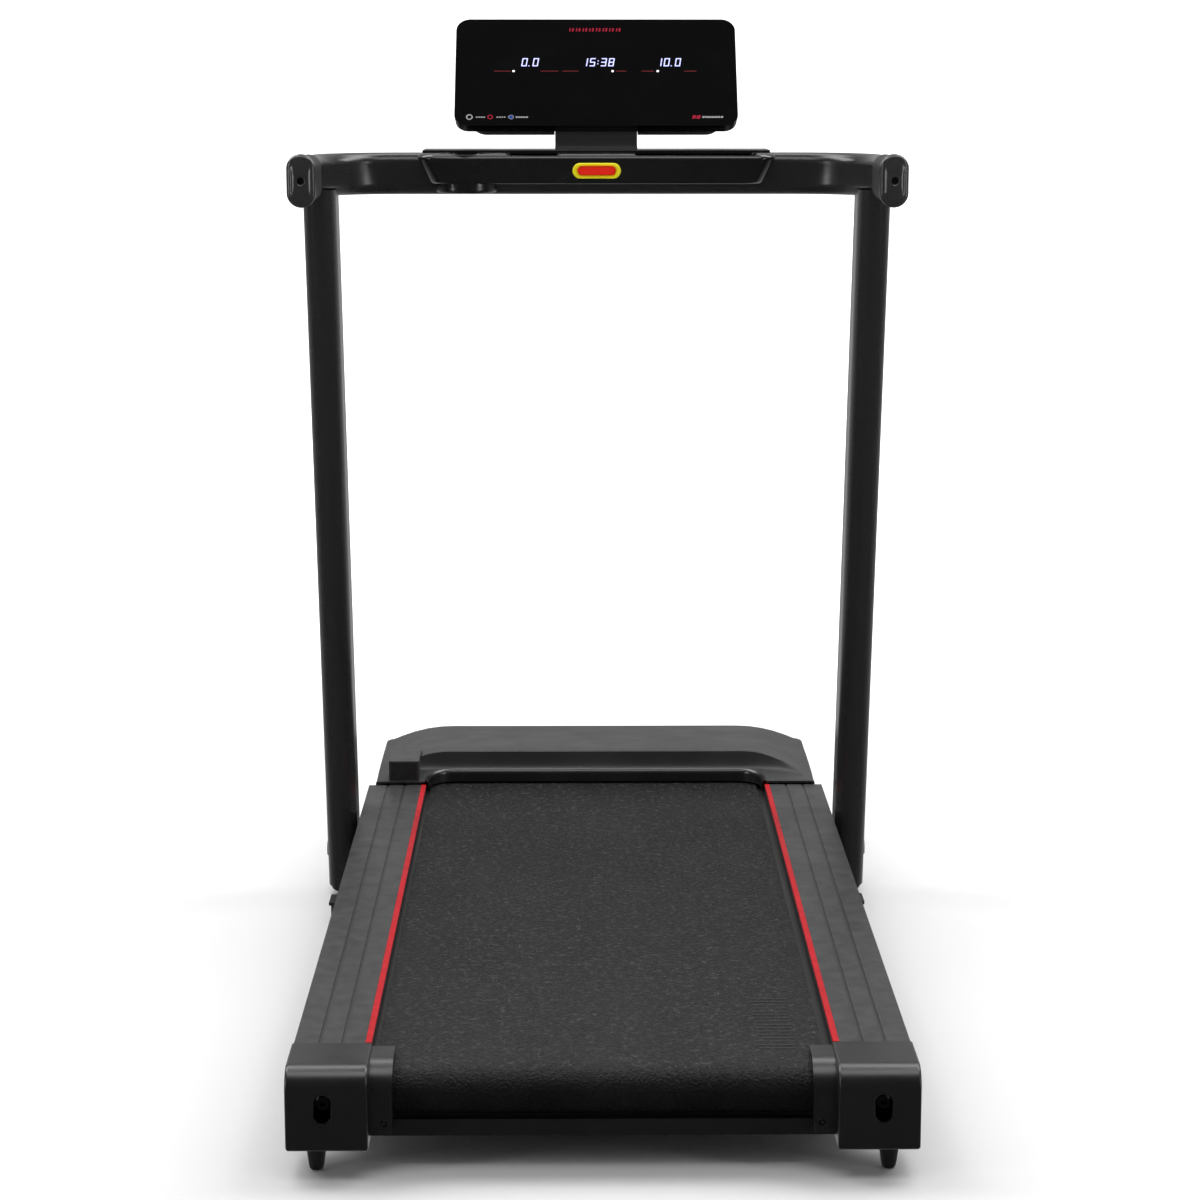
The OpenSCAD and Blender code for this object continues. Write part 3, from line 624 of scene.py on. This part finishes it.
def build_hood():
    """The lip and the shell share one row of points, where their colours meet."""
    lip = swept_path(230, 1137, 1172, 35, 5)
    riser = swept_path(296, 1127, 1184, 96, 5)
    outer = swept_path(301, 1350, HOOD_FRONT, 20, 13)
    sections = [hood_section(*stations) for stations in zip(lip, riser, outer)]
    verts = [(x / MM, back(y), z / MM) for section in sections for (x, y), z in section]
    count = len(sections[0])
    shell_faces, lip_faces = [], []
    for face in grid_faces(len(sections), count):
        on_lip = min(face) % count < LIP_ROWS - 1
        (lip_faces if on_lip else shell_faces).append(face)
    trim = make("hood_lip", verts, lip_faces, CAP, "deck", "cap_plastic", ["motor_hood"])
    thicken(trim, LIP_THICKNESS)
    sharpen(trim, 60)
    hood = make("hood_shell", verts, shell_faces, HOOD, "deck", "hood_plastic", ["motor_hood"])
    thicken(hood, SHELL_THICKNESS)
    for node_name, gap in FRONT_OPENINGS:
        combine(hood, cutter_box(*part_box(node_name), gap), "DIFFERENCE")
    sharpen(hood, 40)


build_hood()


# ---- Grip caps, rear feet and stop bezel ----

def oval_ring(width, height, count=64):
    """Points round an upright flat oval, in the units of its width."""
    radius = width / 2
    points = []
    for i in range(count):
        a = 2 * math.pi * i / count
        lift = (height - width) / 2 * (1 if math.sin(a) >= 0 else -1)
        points.append((radius * math.cos(a), radius * math.sin(a) + lift))
    return points


GRIP_CAP_WIDTH, GRIP_CAP_HEIGHT = 0.034, 0.062
GRIP_CAP_ROUND = 0.010
SCREW_HOLE_RADIUS = 0.0043
# Crowned face from its rim to the screw hole: (part of the way in, part of the depth below it).
GRIP_CAP_CROWN = ((0.15, 0.17), (0.3, 0.105), (0.45, 0.06), (0.6, 0.03), (0.75, 0.01), (0.9, 0.0),
                  (1.0, 0.02), (1.0, 0.38))


def grip_cap_stations():
    """(part of the depth from the join, width, height) from the join out to the rim of the face."""
    width, height = GRIP_CAP_WIDTH, GRIP_CAP_HEIGHT
    stations = [(0.0, width - 0.004, height - 0.006), (0.0, width - 0.001, height - 0.001),
                (0.001, width, height), (0.4, width, height)]
    for i in range(1, 9):
        a = math.radians(90 * i / 8)
        shrink = GRIP_CAP_ROUND * (1 - math.cos(a))
        stations.append((0.4 + 0.36 * math.sin(a), width - shrink, height - shrink))
    return stations


def build_grip_caps():
    low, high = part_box("grip_caps")
    face_y, join_y = low[1], high[1]
    centre_z = (low[2] + high[2]) / 2
    centre_x = high[0] - GRIP_CAP_WIDTH / 2
    depth = join_y - face_y
    rim = oval_ring(GRIP_CAP_WIDTH - GRIP_CAP_ROUND, GRIP_CAP_HEIGHT - GRIP_CAP_ROUND)
    count = len(rim)
    hole = oval_ring(2 * SCREW_HOLE_RADIUS, 2 * SCREW_HOLE_RADIUS, count)
    for side, end in ((-1, "left"), (1, "right")):
        verts = []
        for place, width, height in grip_cap_stations():
            y = join_y - depth * place
            verts += [(side * centre_x + x, y, centre_z + z) for x, z in oval_ring(width, height)]
        for inward, below in GRIP_CAP_CROWN:
            for rim_point, hole_point in zip(rim, hole):
                x, z = between(rim_point, hole_point, inward)
                verts.append((side * centre_x + x, face_y + depth * below, centre_z + z))
        rows = len(verts) // count
        faces = grid_faces(rows, count, True)
        faces.append(ring_face(rows - 1, count))
        make("grip_cap_" + end, verts, faces, GRIP_CAP, "mast", "cap_plastic", ["grip_caps"])


FOOT_INSET = 0.010
FOOT_TURNS = 40
# (radius, height) in metres, from the floor up.
FOOT_PROFILE = ((0.0, 0.0), (0.0045, 0.0), (0.0062, 0.0008), (0.0072, 0.0028), (0.0080, 0.007),
                (0.0088, 0.014), (0.0090, 0.0145), (0.0090, 0.0165), (0.0093, 0.017),
                (0.0098, 0.026), (0.0099, 0.031))


def build_rear_feet():
    low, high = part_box("rear_feet")
    centre_x = high[0] - FOOT_INSET
    centre_y = (low[1] + high[1]) / 2
    for side, end in ((-1, "left"), (1, "right")):
        verts = []
        for radius, z in FOOT_PROFILE:
            for i in range(FOOT_TURNS):
                a = 2 * math.pi * i / FOOT_TURNS
                x, y = radius * math.cos(a), radius * math.sin(a)
                verts.append((side * centre_x + x, centre_y + y, z))
        faces = grid_faces(len(FOOT_PROFILE), FOOT_TURNS, True)
        faces.append(ring_face(len(FOOT_PROFILE) - 1, FOOT_TURNS))
        make("rear_foot_" + end, verts, faces, FOOT, "deck", "rubber", ["rear_feet"])


BEZEL_HEIGHT, BEZEL_WIDTH = 0.0188, 0.0592
BEZEL_ROUND, BEZEL_BAND = 0.0015, 0.0042


def build_stop_bezel():
    """A rounded yellow band round the stop button's slot."""
    low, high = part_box("stop_ring")
    centre_z = (low[2] + high[2]) / 2
    near = low[1]
    stations = [(high[1], BEZEL_HEIGHT, BEZEL_WIDTH),
                (near + BEZEL_ROUND, BEZEL_HEIGHT, BEZEL_WIDTH)]
    for i in range(1, 13):
        a = math.pi * i / 12
        across = BEZEL_BAND * (1 - math.cos(a))
        stations.append((near + BEZEL_ROUND * (1 - math.sin(a)),
                         BEZEL_HEIGHT - across, BEZEL_WIDTH - across * 1.5))
    inner_height, inner_width = stations[-1][1:]
    stations.append((high[1], inner_height, inner_width))
    verts = []
    for y, height, width in stations:
        verts += [(x, y, centre_z + z) for z, x in oval_ring(height, width)]
    count = len(verts) // len(stations)
    faces = grid_faces(len(stations), count, True)
    last = (len(stations) - 1) * count
    faces += [(last + i, last + (i + 1) % count, (i + 1) % count, i) for i in range(count)]
    bezel = make("stop_bezel", verts, faces, RING_YELLOW, "mast", "yellow", ["stop_ring"])
    sharpen(bezel, 50)


build_grip_caps()
build_rear_feet()
build_stop_bezel()


# ---- End caps and guard screws, in millimetres ----

CAP_IN, CAP_OUT, CAP_END, CAP_LOW, CAP_HIGH = 231.0, 312.5, 81.0, 31.0, 115.0
CAP_ROLL, CAP_EDGE, CAP_WALL = 23.0, 3.0, 3.0
NOTCH = ((34, 34), (56, 34), (56, 53), (34, 53))
AXLE_Y, AXLE_Z, AXLE_HOLE = 52, 79, 9
SLOT_X, SLOT_Z, SLOT_WIDTH, SLOT_HEIGHT = 275.5, 74.5, 16.5, 29
SLOT_POINTS = 48
SCREW_X, SCREW_Z, SCREW_POINTS = 216.2, 53.5, 24
# (distance from the rear, radius) over the screw's head and into its socket.
SCREW_PROFILE = ((20.5, 3.6), (18.7, 3.6), (18.3, 3.2), (18.3, 1.9), (20.3, 1.7))


def cap_ring(inset, end):
    """Side outline of an end cap: a large radius at the top rear, a small one below."""
    y0, z0, z1 = inset, CAP_LOW + inset, CAP_HIGH - inset
    ring = [(end, z0), (end, z1)]
    roll = CAP_ROLL - inset
    for i in range(17):
        a = math.radians(90 + 90 * i / 16)
        ring.append((y0 + roll + roll * math.cos(a), z1 - roll + roll * math.sin(a)))
    edge = max(CAP_EDGE + 1.0 - inset, 0.4)
    for i in range(7):
        a = math.radians(180 + 90 * i / 6)
        ring.append((y0 + edge + edge * math.cos(a), z0 + edge + edge * math.sin(a)))
    return ring


def along_x(name, stations):
    """A closed solid from (x, outline) stations, each outline a list of (distance, z)."""
    count = len(stations[0][1])
    verts = [(x / MM, back(y), z / MM) for x, outline in stations for y, z in outline]
    faces = grid_faces(len(stations), count, True)
    faces += [ring_face(0, count), ring_face(len(stations) - 1, count)]
    return loose_solid(name, verts, faces)


def inner_wall_tool(side, name, outline):
    """A solid with the outline that reaches through an end cap's inner wall."""
    return along_x(name, [(side * (CAP_IN - 1), outline), (side * (CAP_IN + 4), outline)])


def finish_solid(piece, material, body, replaced):
    """Gives a solid that was cut to shape its material and body, and hides the CAD node it
    replaces.
    """
    piece.data.materials.clear()
    piece.data.materials.append(material)
    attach(piece, body)
    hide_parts(replaced)


def build_end_cap(side, name, node_name):
    stations = []
    for place, direction in ((CAP_IN, 1), (CAP_OUT, -1)):
        steps = []
        for degrees in (0, 18, 36, 54, 72, 90):
            a = math.radians(degrees)
            steps.append((place + direction * CAP_EDGE * (1 - math.cos(a)),
                          CAP_EDGE * (1 - math.sin(a))))
        stations += [(side * x, cap_ring(inset, CAP_END)) for x, inset in steps[::direction]]
    cap = along_x(name, stations)
    hollow = cap_ring(CAP_WALL, CAP_END + 5)
    hollow_ends = [(side * x, hollow) for x in (CAP_IN + CAP_WALL, CAP_OUT - CAP_WALL)]
    combine(cap, along_x("hollow", hollow_ends), "DIFFERENCE")
    combine(cap, inner_wall_tool(side, "notch", NOTCH), "DIFFERENCE")
    axle = []
    for degrees in range(0, 360, 10):
        a = math.radians(degrees)
        axle.append((AXLE_Y + AXLE_HOLE * math.cos(a), AXLE_Z + AXLE_HOLE * math.sin(a)))
    combine(cap, inner_wall_tool(side, "bore", axle), "DIFFERENCE")
    slot_verts = []
    for y, grow in ((-1.0, 1.8), (0.0, 0.9), (0.9, 0.0), (CAP_WALL + 1, 0.0)):
        outline = oval_ring((SLOT_WIDTH + grow) / MM, (SLOT_HEIGHT + grow) / MM, SLOT_POINTS)
        slot_verts += [(side * SLOT_X / MM + x, back(y), SLOT_Z / MM + z) for x, z in outline]
    slot_faces = grid_faces(4, SLOT_POINTS, True)
    slot_faces += [ring_face(0, SLOT_POINTS), ring_face(3, SLOT_POINTS)]
    combine(cap, loose_solid("slot", slot_verts, slot_faces), "DIFFERENCE")
    sharpen(cap, 35)
    finish_solid(cap, CAP, "deck", node_name)


def build_guard_screw_in_painted_shade(side, name):
    """A socket screw in the foot of each roller guard; its near-black glass finish also paints the
    shade of the screw hole.
    """
    verts = []
    for y, radius in SCREW_PROFILE:
        outline = oval_ring(2 * radius / MM, 2 * radius / MM, SCREW_POINTS)
        verts += [(side * SCREW_X / MM + x, back(y), SCREW_Z / MM + z) for x, z in outline]
    rows = len(SCREW_PROFILE)
    faces = grid_faces(rows, SCREW_POINTS, True)
    faces += [ring_face(0, SCREW_POINTS), ring_face(rows - 1, SCREW_POINTS)]
    make(name, verts, faces, GLASS, "deck", "black_bolt")


build_end_cap(-1, "end_cap_left", "left_end_cap")
build_end_cap(1, "end_cap_right", "right_end_cap")
build_guard_screw_in_painted_shade(-1, "guard_screw_painted_shade_left")
build_guard_screw_in_painted_shade(1, "guard_screw_painted_shade_right")


# ---- Tray, in millimetres ----

TRAY_NEAR, TRAY_FAR, TRAY_FLOOR, TRAY_RIM = 860.0, 934.0, 940.0, 976.0
TRAY_LEAN = 20
TRAY_CORNER = 24.0
CUP_X, CUP_Y, CUP_RADIUS, CUP_WALL, CUP_FLOOR = -161.0, 898.0, 35.0, 2.5, 931
POCKETS = ((-112, -44), (44, 198))
POCKET_WALL, POCKET_CORNER = 3, 6
BUTTON_BAY_HALF, BUTTON_BAY_WALL = 40, 6
BUTTON_SLOT_HEIGHT, BUTTON_SLOT_WIDTH, BUTTON_SLOT_Z = 10.4, 46.4, 956
SHELF_INSET, SHELF_Z, SHELF_FAR = 6, 976.3, 1003
CORNER_STEPS = 8


def rounded_ring(x0, x1, y0, y1, near_radius, far_radius):
    """Plan outline of a rectangle with rounded corners, from its near right corner."""
    ring = []
    corners = ((x1, y0, near_radius, -90, 1, -1), (x1, y1, far_radius, 0, 1, 1),
               (x0, y1, far_radius, 90, -1, 1), (x0, y0, near_radius, 180, -1, -1))
    for x, y, radius, start, side_x, side_y in corners:
        for i in range(CORNER_STEPS + 1):
            a = math.radians(start + 90 * i / CORNER_STEPS)
            ring.append((x - side_x * radius + radius * math.cos(a),
                         y - side_y * radius + radius * math.sin(a)))
    return ring


def stacked(rings):
    """Vertices and faces of a closed solid from (outline, height) rings, bottom first."""
    count = len(rings[0][0])
    verts = [(x / MM, back(y), z / MM) for outline, z in rings for x, y in outline]
    faces = grid_faces(len(rings), count, True)
    faces += [ring_face(0, count)[::-1], ring_face(len(rings) - 1, count)]
    return verts, faces


def edge_profile(low, high, low_round, high_round):
    """(inset, height) pairs for a wall whose bottom and top edges are rounded."""
    pairs = []
    for degrees in (0, 30, 60, 90):
        a = math.radians(degrees)
        pairs.append((low_round * (1 - math.sin(a)), low + low_round * (1 - math.cos(a))))
    for degrees in (0, 18, 36, 54, 72, 90):
        a = math.radians(degrees)
        pairs.append((high_round * (1 - math.cos(a)), high - high_round * (1 - math.sin(a))))
    return pairs


def pocket(x0, x1, y0, y1, floor, top, radius):
    """Cutter for a pocket with a rounded floor edge and an eased rim."""
    rings = []
    for inset, z in ((2.5, floor), (0.8, floor + 0.8), (0, floor + 2.5), (0, top - 1.2),
                     (-0.4, top - 0.4), (-1.2, top), (-1.3, top + 3)):
        corner = max(radius - inset, 0.5)
        rings.append((rounded_ring(x0 + inset, x1 - inset, y0 + inset, y1 - inset,
                                   corner, corner), z))
    return loose_solid("pocket", *stacked(rings))


def tray_bowl(half_top):
    """The tray's outside, which leans in toward its floor."""
    rings = []
    for inset, z in edge_profile(TRAY_FLOOR, TRAY_RIM, 3.0, 7.5):
        lean = TRAY_LEAN * (TRAY_RIM - z) / (TRAY_RIM - TRAY_FLOOR)
        half_width = half_top - lean - inset
        rings.append((rounded_ring(-half_width, half_width, TRAY_NEAR + inset, TRAY_FAR,
                                   TRAY_CORNER - inset * 0.5, 1.0), z))
    return loose_solid("tray_body", *stacked(rings))


def cup_well(foot):
    """The outside of the cup well, whose foot shows under the tray."""
    rings = []
    for inset, z in edge_profile(foot, TRAY_RIM - 1, 4.0, 0.5):
        reach = CUP_RADIUS + CUP_WALL - inset
        rings.append((rounded_ring(CUP_X - reach, CUP_X + reach, CUP_Y - reach, CUP_Y + reach,
                                   reach, reach), z))
    return loose_solid("cup", *stacked(rings))


def button_slot():
    """Cutter for the flat oval opening that the stop button slides in."""
    outline = [(x, z + BUTTON_SLOT_Z) for z, x in oval_ring(BUTTON_SLOT_HEIGHT, BUTTON_SLOT_WIDTH)]
    verts = [(x / MM, back(y), z / MM) for y in (TRAY_NEAR - 2, TRAY_NEAR + 5) for x, z in outline]
    count = len(outline)
    faces = grid_faces(2, count, True) + [ring_face(0, count)[::-1], ring_face(1, count)]
    return loose_solid("slot", verts, faces)


def build_tray_body():
    low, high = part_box("tray")
    body = tray_bowl(high[0] * MM)
    combine(body, cup_well(low[2] * MM), "UNION")
    combine(body, pocket(CUP_X - CUP_RADIUS, CUP_X + CUP_RADIUS, CUP_Y - CUP_RADIUS,
                         CUP_Y + CUP_RADIUS, CUP_FLOOR, TRAY_RIM, CUP_RADIUS), "DIFFERENCE")
    near, far = TRAY_NEAR + POCKET_WALL, TRAY_FAR - POCKET_WALL
    for x0, x1 in POCKETS:
        combine(body, pocket(x0, x1, near, far, TRAY_FLOOR + POCKET_WALL, TRAY_RIM,
                             POCKET_CORNER), "DIFFERENCE")
    combine(body, pocket(-BUTTON_BAY_HALF, BUTTON_BAY_HALF, near, far,
                         TRAY_FLOOR - BUTTON_BAY_WALL, TRAY_RIM - BUTTON_BAY_WALL, 1), "DIFFERENCE")
    combine(body, button_slot(), "DIFFERENCE")
    sharpen(body, 28)
    finish_solid(body, TRAY, "mast", "tray")


def build_tray_shelf():
    """The shelf behind the bowl, the wall it stands on and the lip at its far edge."""
    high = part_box("tray")[1]
    half, top = high[0] * MM - SHELF_INSET, high[2] * MM
    slabs = ((half, TRAY_FAR, SHELF_FAR, SHELF_Z, top),
             (half, TRAY_FAR - 3, TRAY_FAR + 1, TRAY_RIM - 4, top),
             (half - 10, SHELF_FAR - 3, SHELF_FAR, 950, 977))
    verts, faces = [], []
    for half_width, y0, y1, z0, z1 in slabs:
        rings = [(rounded_ring(inset - half_width, half_width - inset, y0 + inset, y1 - inset,
                               1.0, 1.0), z) for inset, z in edge_profile(z0, z1, 0.6, 1.0)]
        slab_verts, slab_faces = stacked(rings)
        faces += [tuple(len(verts) + i for i in face) for face in slab_faces]
        verts += slab_verts
    shelf = make("tray_shelf", verts, faces, TRAY, "mast", "tray_plastic", ["tray"])
    sharpen(shelf, 40)


def build_tray_hatch():
    """A cover under the stop button, which hides the open bay from below."""
    half = BUTTON_BAY_HALF - 1
    rings = [(rounded_ring(inset - half, half - inset, TRAY_NEAR + 4 + inset,
                           TRAY_FAR - 4 - inset, 2.0, 2.0), z)
             for inset, z in edge_profile(TRAY_FLOOR + 0.6, TRAY_FLOOR + 3, 0.4, 0.4)]
    make("tray_hatch", *stacked(rings), TRAY, "mast", "tray_plastic", smooth=False)


build_tray_body()
build_tray_shelf()
build_tray_hatch()


# ---- Belt print ----

PRINT_LEFT, PRINT_RIGHT = 0.158, 0.196
PRINT_START_MM, PRINT_PITCH_MM, PRINT_PAIRS = 88, 20.5, 8
STROKE_GAP, STROKE_WIDTH = 0.0095, 0.0028
STROKE_BOTTOM, STROKE_TOP = 0.00005, 0.0003
BOX_FACES = ((3, 2, 1, 0), (4, 5, 6, 7), (0, 1, 5, 4), (1, 2, 6, 5), (2, 3, 7, 6), (3, 0, 4, 7))


def build_belt_print():
    """A generic row of paired strokes where the belt carries its printed mark."""
    belt_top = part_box("running_belt")[1][2]
    verts, faces = [], []
    for i in range(PRINT_PAIRS):
        for offset in (0.0, STROKE_GAP):
            y0 = back(PRINT_START_MM + i * PRINT_PITCH_MM) + offset
            y1 = y0 + STROKE_WIDTH
            outline = [(PRINT_LEFT, y0), (PRINT_RIGHT, y0), (PRINT_RIGHT, y1), (PRINT_LEFT, y1)]
            first = len(verts)
            verts += [(x, y, belt_top + z) for z in (STROKE_BOTTOM, STROKE_TOP) for x, y in outline]
            faces += [tuple(first + j for j in face) for face in BOX_FACES]
    make("belt_print", verts, faces, BELT_PRINT, "deck", "belt", smooth=False)


build_belt_print()


# ---- Console face: lit figures and printed marks ----

GLASS_TILT = math.radians(39)
GLASS_THICKNESS = 0.004
TILE_BOTTOM, TILE_TOP = 0.00005, 0.00025
ROUND_STEPS = 20
glass_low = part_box("console_glass")[0]
FACE_ORIGIN = Vector((0, glass_low[1], glass_low[2] + GLASS_THICKNESS * math.sin(GLASS_TILT)))

# Heights up the face, in metres from its lower edge.
FIGURES_UP, DASHES_UP, DOTS_UP = 0.094, 0.0855, 0.0862
BADGES_UP, TOP_MARKS_UP = 0.0135, 0.1500
FIGURE_HEIGHT = 0.0128
SEGMENTS = {"0": "abcdef", "1": "bc", "3": "abcdg", "5": "acdfg", "8": "abcdefg"}
FIGURE_LEAN = 0.14

# Rows of short dashes under the figures: (left end, how many).
DASH_ROWS = ((-0.128, 8), (-0.070, 9), (-0.042, 8), (0.026, 5), (0.058, 6), (0.112, 6))
# Rows of pale strokes low on the face: (left end, pitch, how many, up, width, height, slant).
STROKE_ROWS = ((-0.1505, 0.0031, 4, 0.0125, 0.0022, 0.0016, 0.0),
               (-0.1245, 0.0030, 4, 0.0125, 0.0021, 0.0016, 0.0),
               (-0.1005, 0.0032, 5, 0.0122, 0.0023, 0.0022, 0.0),
               (0.1325, 0.0038, 7, 0.0122, 0.0028, 0.0026, 0.0008))


def face_point(x, up, proud):
    """A point on the console's face: x across, up along its slope, in metres."""
    y = FACE_ORIGIN.y + up * math.sin(GLASS_TILT) - proud * math.cos(GLASS_TILT)
    z = FACE_ORIGIN.z + up * math.cos(GLASS_TILT) + proud * math.sin(GLASS_TILT)
    return (x, y, z)


def face_tile(outline):
    """A thin raised tile on the face from an outline of (x, up) points."""
    count = len(outline)
    verts = [face_point(x, up, proud) for proud in (TILE_BOTTOM, TILE_TOP) for x, up in outline]
    faces = [ring_face(0, count), ring_face(1, count)]
    faces += [(i, (i + 1) % count, count + (i + 1) % count, count + i) for i in range(count)]
    return verts, faces


def face_piece(name, outlines, material):
    """One piece of raised tiles, which rides on the console."""
    verts, faces = [], []
    for outline in outlines:
        tile_verts, tile_faces = face_tile(outline)
        faces += [tuple(len(verts) + i for i in face) for face in tile_faces]
        verts += tile_verts
    make(name, verts, faces, material, "console", "glass", smooth=False)


def bar(x, up, width, height, slant=0.0):
    """A stroke from its lower left corner; slant moves its top to the right."""
    return [(x, up), (x + width, up), (x + width + slant, up + height), (x + slant, up + height)]


def circle_point(x, up, radius, step):
    a = 2 * math.pi * step / ROUND_STEPS
    return x + radius * math.cos(a), up + radius * math.sin(a)


def disc(x, up, radius):
    return [circle_point(x, up, radius, step) for step in range(ROUND_STEPS)]


def ring(x, up, outer, inner):
    """A ring of short tiles."""
    return [[circle_point(x, up, radius, step) for radius, step in
             ((inner, i), (outer, i), (outer, i + 1), (inner, i + 1))] for i in range(ROUND_STEPS)]


def digit(character, x, up, width, height, thick):
    """Slanted seven-segment figure; a is the top bar, then clockwise, g the middle."""
    gap = thick * 0.18
    half_height = height / 2
    across, tall = width - 2 * gap, half_height - 2 * gap
    right, upper = width - thick, half_height + gap
    spots = {
        "a": (gap, height - thick, across, thick), "b": (right, upper, thick, tall),
        "c": (right, gap, thick, tall), "d": (gap, 0, across, thick),
        "e": (0, gap, thick, tall), "f": (0, upper, thick, tall),
        "g": (gap, half_height - thick / 2, across, thick),
    }
    outlines = []
    for key in SEGMENTS[character]:
        left, low, wide, high = spots[key]
        corners = ((left, low), (left + wide, low), (left + wide, low + high), (left, low + high))
        outlines.append([(x + px + pz * FIGURE_LEAN, up + pz) for px, pz in corners])
    return outlines


def figures(text, centre):
    """Outlines of a number in seven-segment figures, centred on x."""
    up, height = FIGURES_UP, FIGURE_HEIGHT
    width, thick, pitch = height * 0.54, height * 0.105, height * 0.76
    narrow = pitch * 0.45
    total = sum(narrow if c in ".:" else pitch for c in text) - (pitch - width)
    x = centre - total / 2
    outlines = []
    for character in text:
        if character == ".":
            outlines.append(bar(x - thick * 0.4, up, thick, thick))
            x += narrow
        elif character == ":":
            outlines.append(bar(x + height * 0.04, up + height * 0.25, thick, thick))
            outlines.append(bar(x + height * 0.08, up + height * 0.62, thick, thick))
            x += narrow
        else:
            outlines += digit(character, x, up, width, height, thick)
            x += pitch
    return outlines


def build_console_face():
    lit = figures("0.0", -0.084) + figures("15:38", 0.002) + figures("10.0", 0.091)
    face_piece("lit_figures", lit, DIGIT)
    dashes = [bar(start + i * 0.0026, DASHES_UP, 0.0016, 0.0013)
              for start, count in DASH_ROWS for i in range(count)]
    face_piece("scale_marks", dashes, MARK)
    dots = [disc(x, DOTS_UP, 0.0016) for x in (-0.104, 0.021, 0.078)]
    face_piece("scale_dots", dots, DOT)
    pale = [bar(start + i * pitch, up, width, height, slant)
            for start, pitch, count, up, width, height, slant in STROKE_ROWS for i in range(count)]
    pale += ring(-0.1585, BADGES_UP, 0.0042, 0.0028) + ring(-0.1065, BADGES_UP, 0.0034, 0.0029)
    face_piece("pale_marks", pale, PRINT)
    red = ring(-0.1325, BADGES_UP, 0.0036, 0.0022)
    red += [bar(x, 0.0110, 0.0046, 0.0052, 0.0014) for x in (0.1195, 0.1250)]
    face_piece("red_marks", red, PRINT_RED)
    face_piece("blue_marks", [disc(-0.1065, BADGES_UP, 0.0027)], PRINT_BLUE)
    top_marks = []
    for i in range(8):
        x = -0.034 + i * 0.0085
        top_marks += [bar(x, TOP_MARKS_UP, 0.0016, 0.0054, 0.0008),
                      bar(x + 0.0034, TOP_MARKS_UP, 0.0022, 0.0054, 0.0008)]
    face_piece("top_marks", top_marks, PRINT_RED)


build_console_face()


# ---- Stage and light ----

FLOOR_REACH, PAPER_WALL_Y, PAPER_RADIUS, PAPER_TOP = 14.0, 5.0, 2.5, 8.0
PAPER_STEPS = 16


def build_floor():
    """A paper sweep: flat under the object, then curving up into a wall behind it."""
    mesh = bpy.data.meshes.new("floor")
    rise_from = PAPER_WALL_Y - PAPER_RADIUS
    rows = [(-FLOOR_REACH, 0.0), (rise_from, 0.0)]
    for i in range(1, PAPER_STEPS + 1):
        a = math.radians(90 * i / PAPER_STEPS)
        rows.append((rise_from + PAPER_RADIUS * math.sin(a), PAPER_RADIUS * (1 - math.cos(a))))
    rows.append((PAPER_WALL_Y, PAPER_TOP))
    verts = [(x, y, z) for y, z in rows for x in (-FLOOR_REACH, FLOOR_REACH)]
    mesh.from_pydata(verts, [], grid_faces(len(rows), 2))
    mesh.materials.append(studio_paper("studio_paper"))
    for face in mesh.polygons:
        face.use_smooth = True
    floor = bpy.data.objects.new("floor", mesh)
    floor.visible_glossy = False
    bpy.context.scene.collection.objects.link(floor)


def softbox(name, location, target, width, height, power):
    """A rectangular lamp that faces its target; power in watts."""
    light = bpy.data.lights.new(name, "AREA")
    light.shape = "RECTANGLE"
    light.size = width
    light.size_y = height
    light.energy = power
    lamp = bpy.data.objects.new(name, light)
    lamp.location = location
    direction = Vector(target) - Vector(location)
    lamp.rotation_euler = direction.to_track_quat("-Z", "Y").to_euler()
    bpy.context.scene.collection.objects.link(lamp)


def build_world():
    """Brighter behind the object than behind the camera, so black parts facing it stay black."""
    world = bpy.data.worlds.new("studio")
    world.use_nodes = True
    tree = world.node_tree
    sky = tree.nodes["Background"]
    sky.inputs["Color"].default_value = (1.0, 1.0, 1.0, 1)
    direction = tree.nodes.new("ShaderNodeTexCoord").outputs["Generated"]
    split = tree.nodes.new("ShaderNodeSeparateXYZ")
    ramp = tree.nodes.new("ShaderNodeMapRange")
    for socket, value in ((1, -0.1), (2, 0.8), (3, 0.05), (4, 0.46)):
        ramp.inputs[socket].default_value = value
    tree.links.new(direction, split.inputs[0])
    tree.links.new(split.outputs["Y"], ramp.inputs["Value"])
    tree.links.new(ramp.outputs["Result"], sky.inputs["Strength"])
    bpy.context.scene.world = world
    bpy.context.scene.view_settings.view_transform = "Standard"


def build_lights():
    """Large softboxes overhead, and a narrow one low on each side for the uprights' edges."""
    for side, name in ((-1, "left"), (1, "right")):
        softbox(name + "_top", (side * 1.9, 0.45, 2.9), (0, 0, 0.1), 1.3, 2.4, 50)
        softbox(name + "_side", (side * 2.5, -1.7, 1.1), (0, 0, 0.7), 0.35, 1.6, 11)
    softbox("back_top", (0, 1.25, 3.4), (0, 0.2, 0.2), 3.0, 1.2, 30)
    softbox("near_top", (0, -1.4, 3.3), (0, -0.5, 0.1), 3.0, 1.4, 30)


build_floor()
build_world()
build_lights()
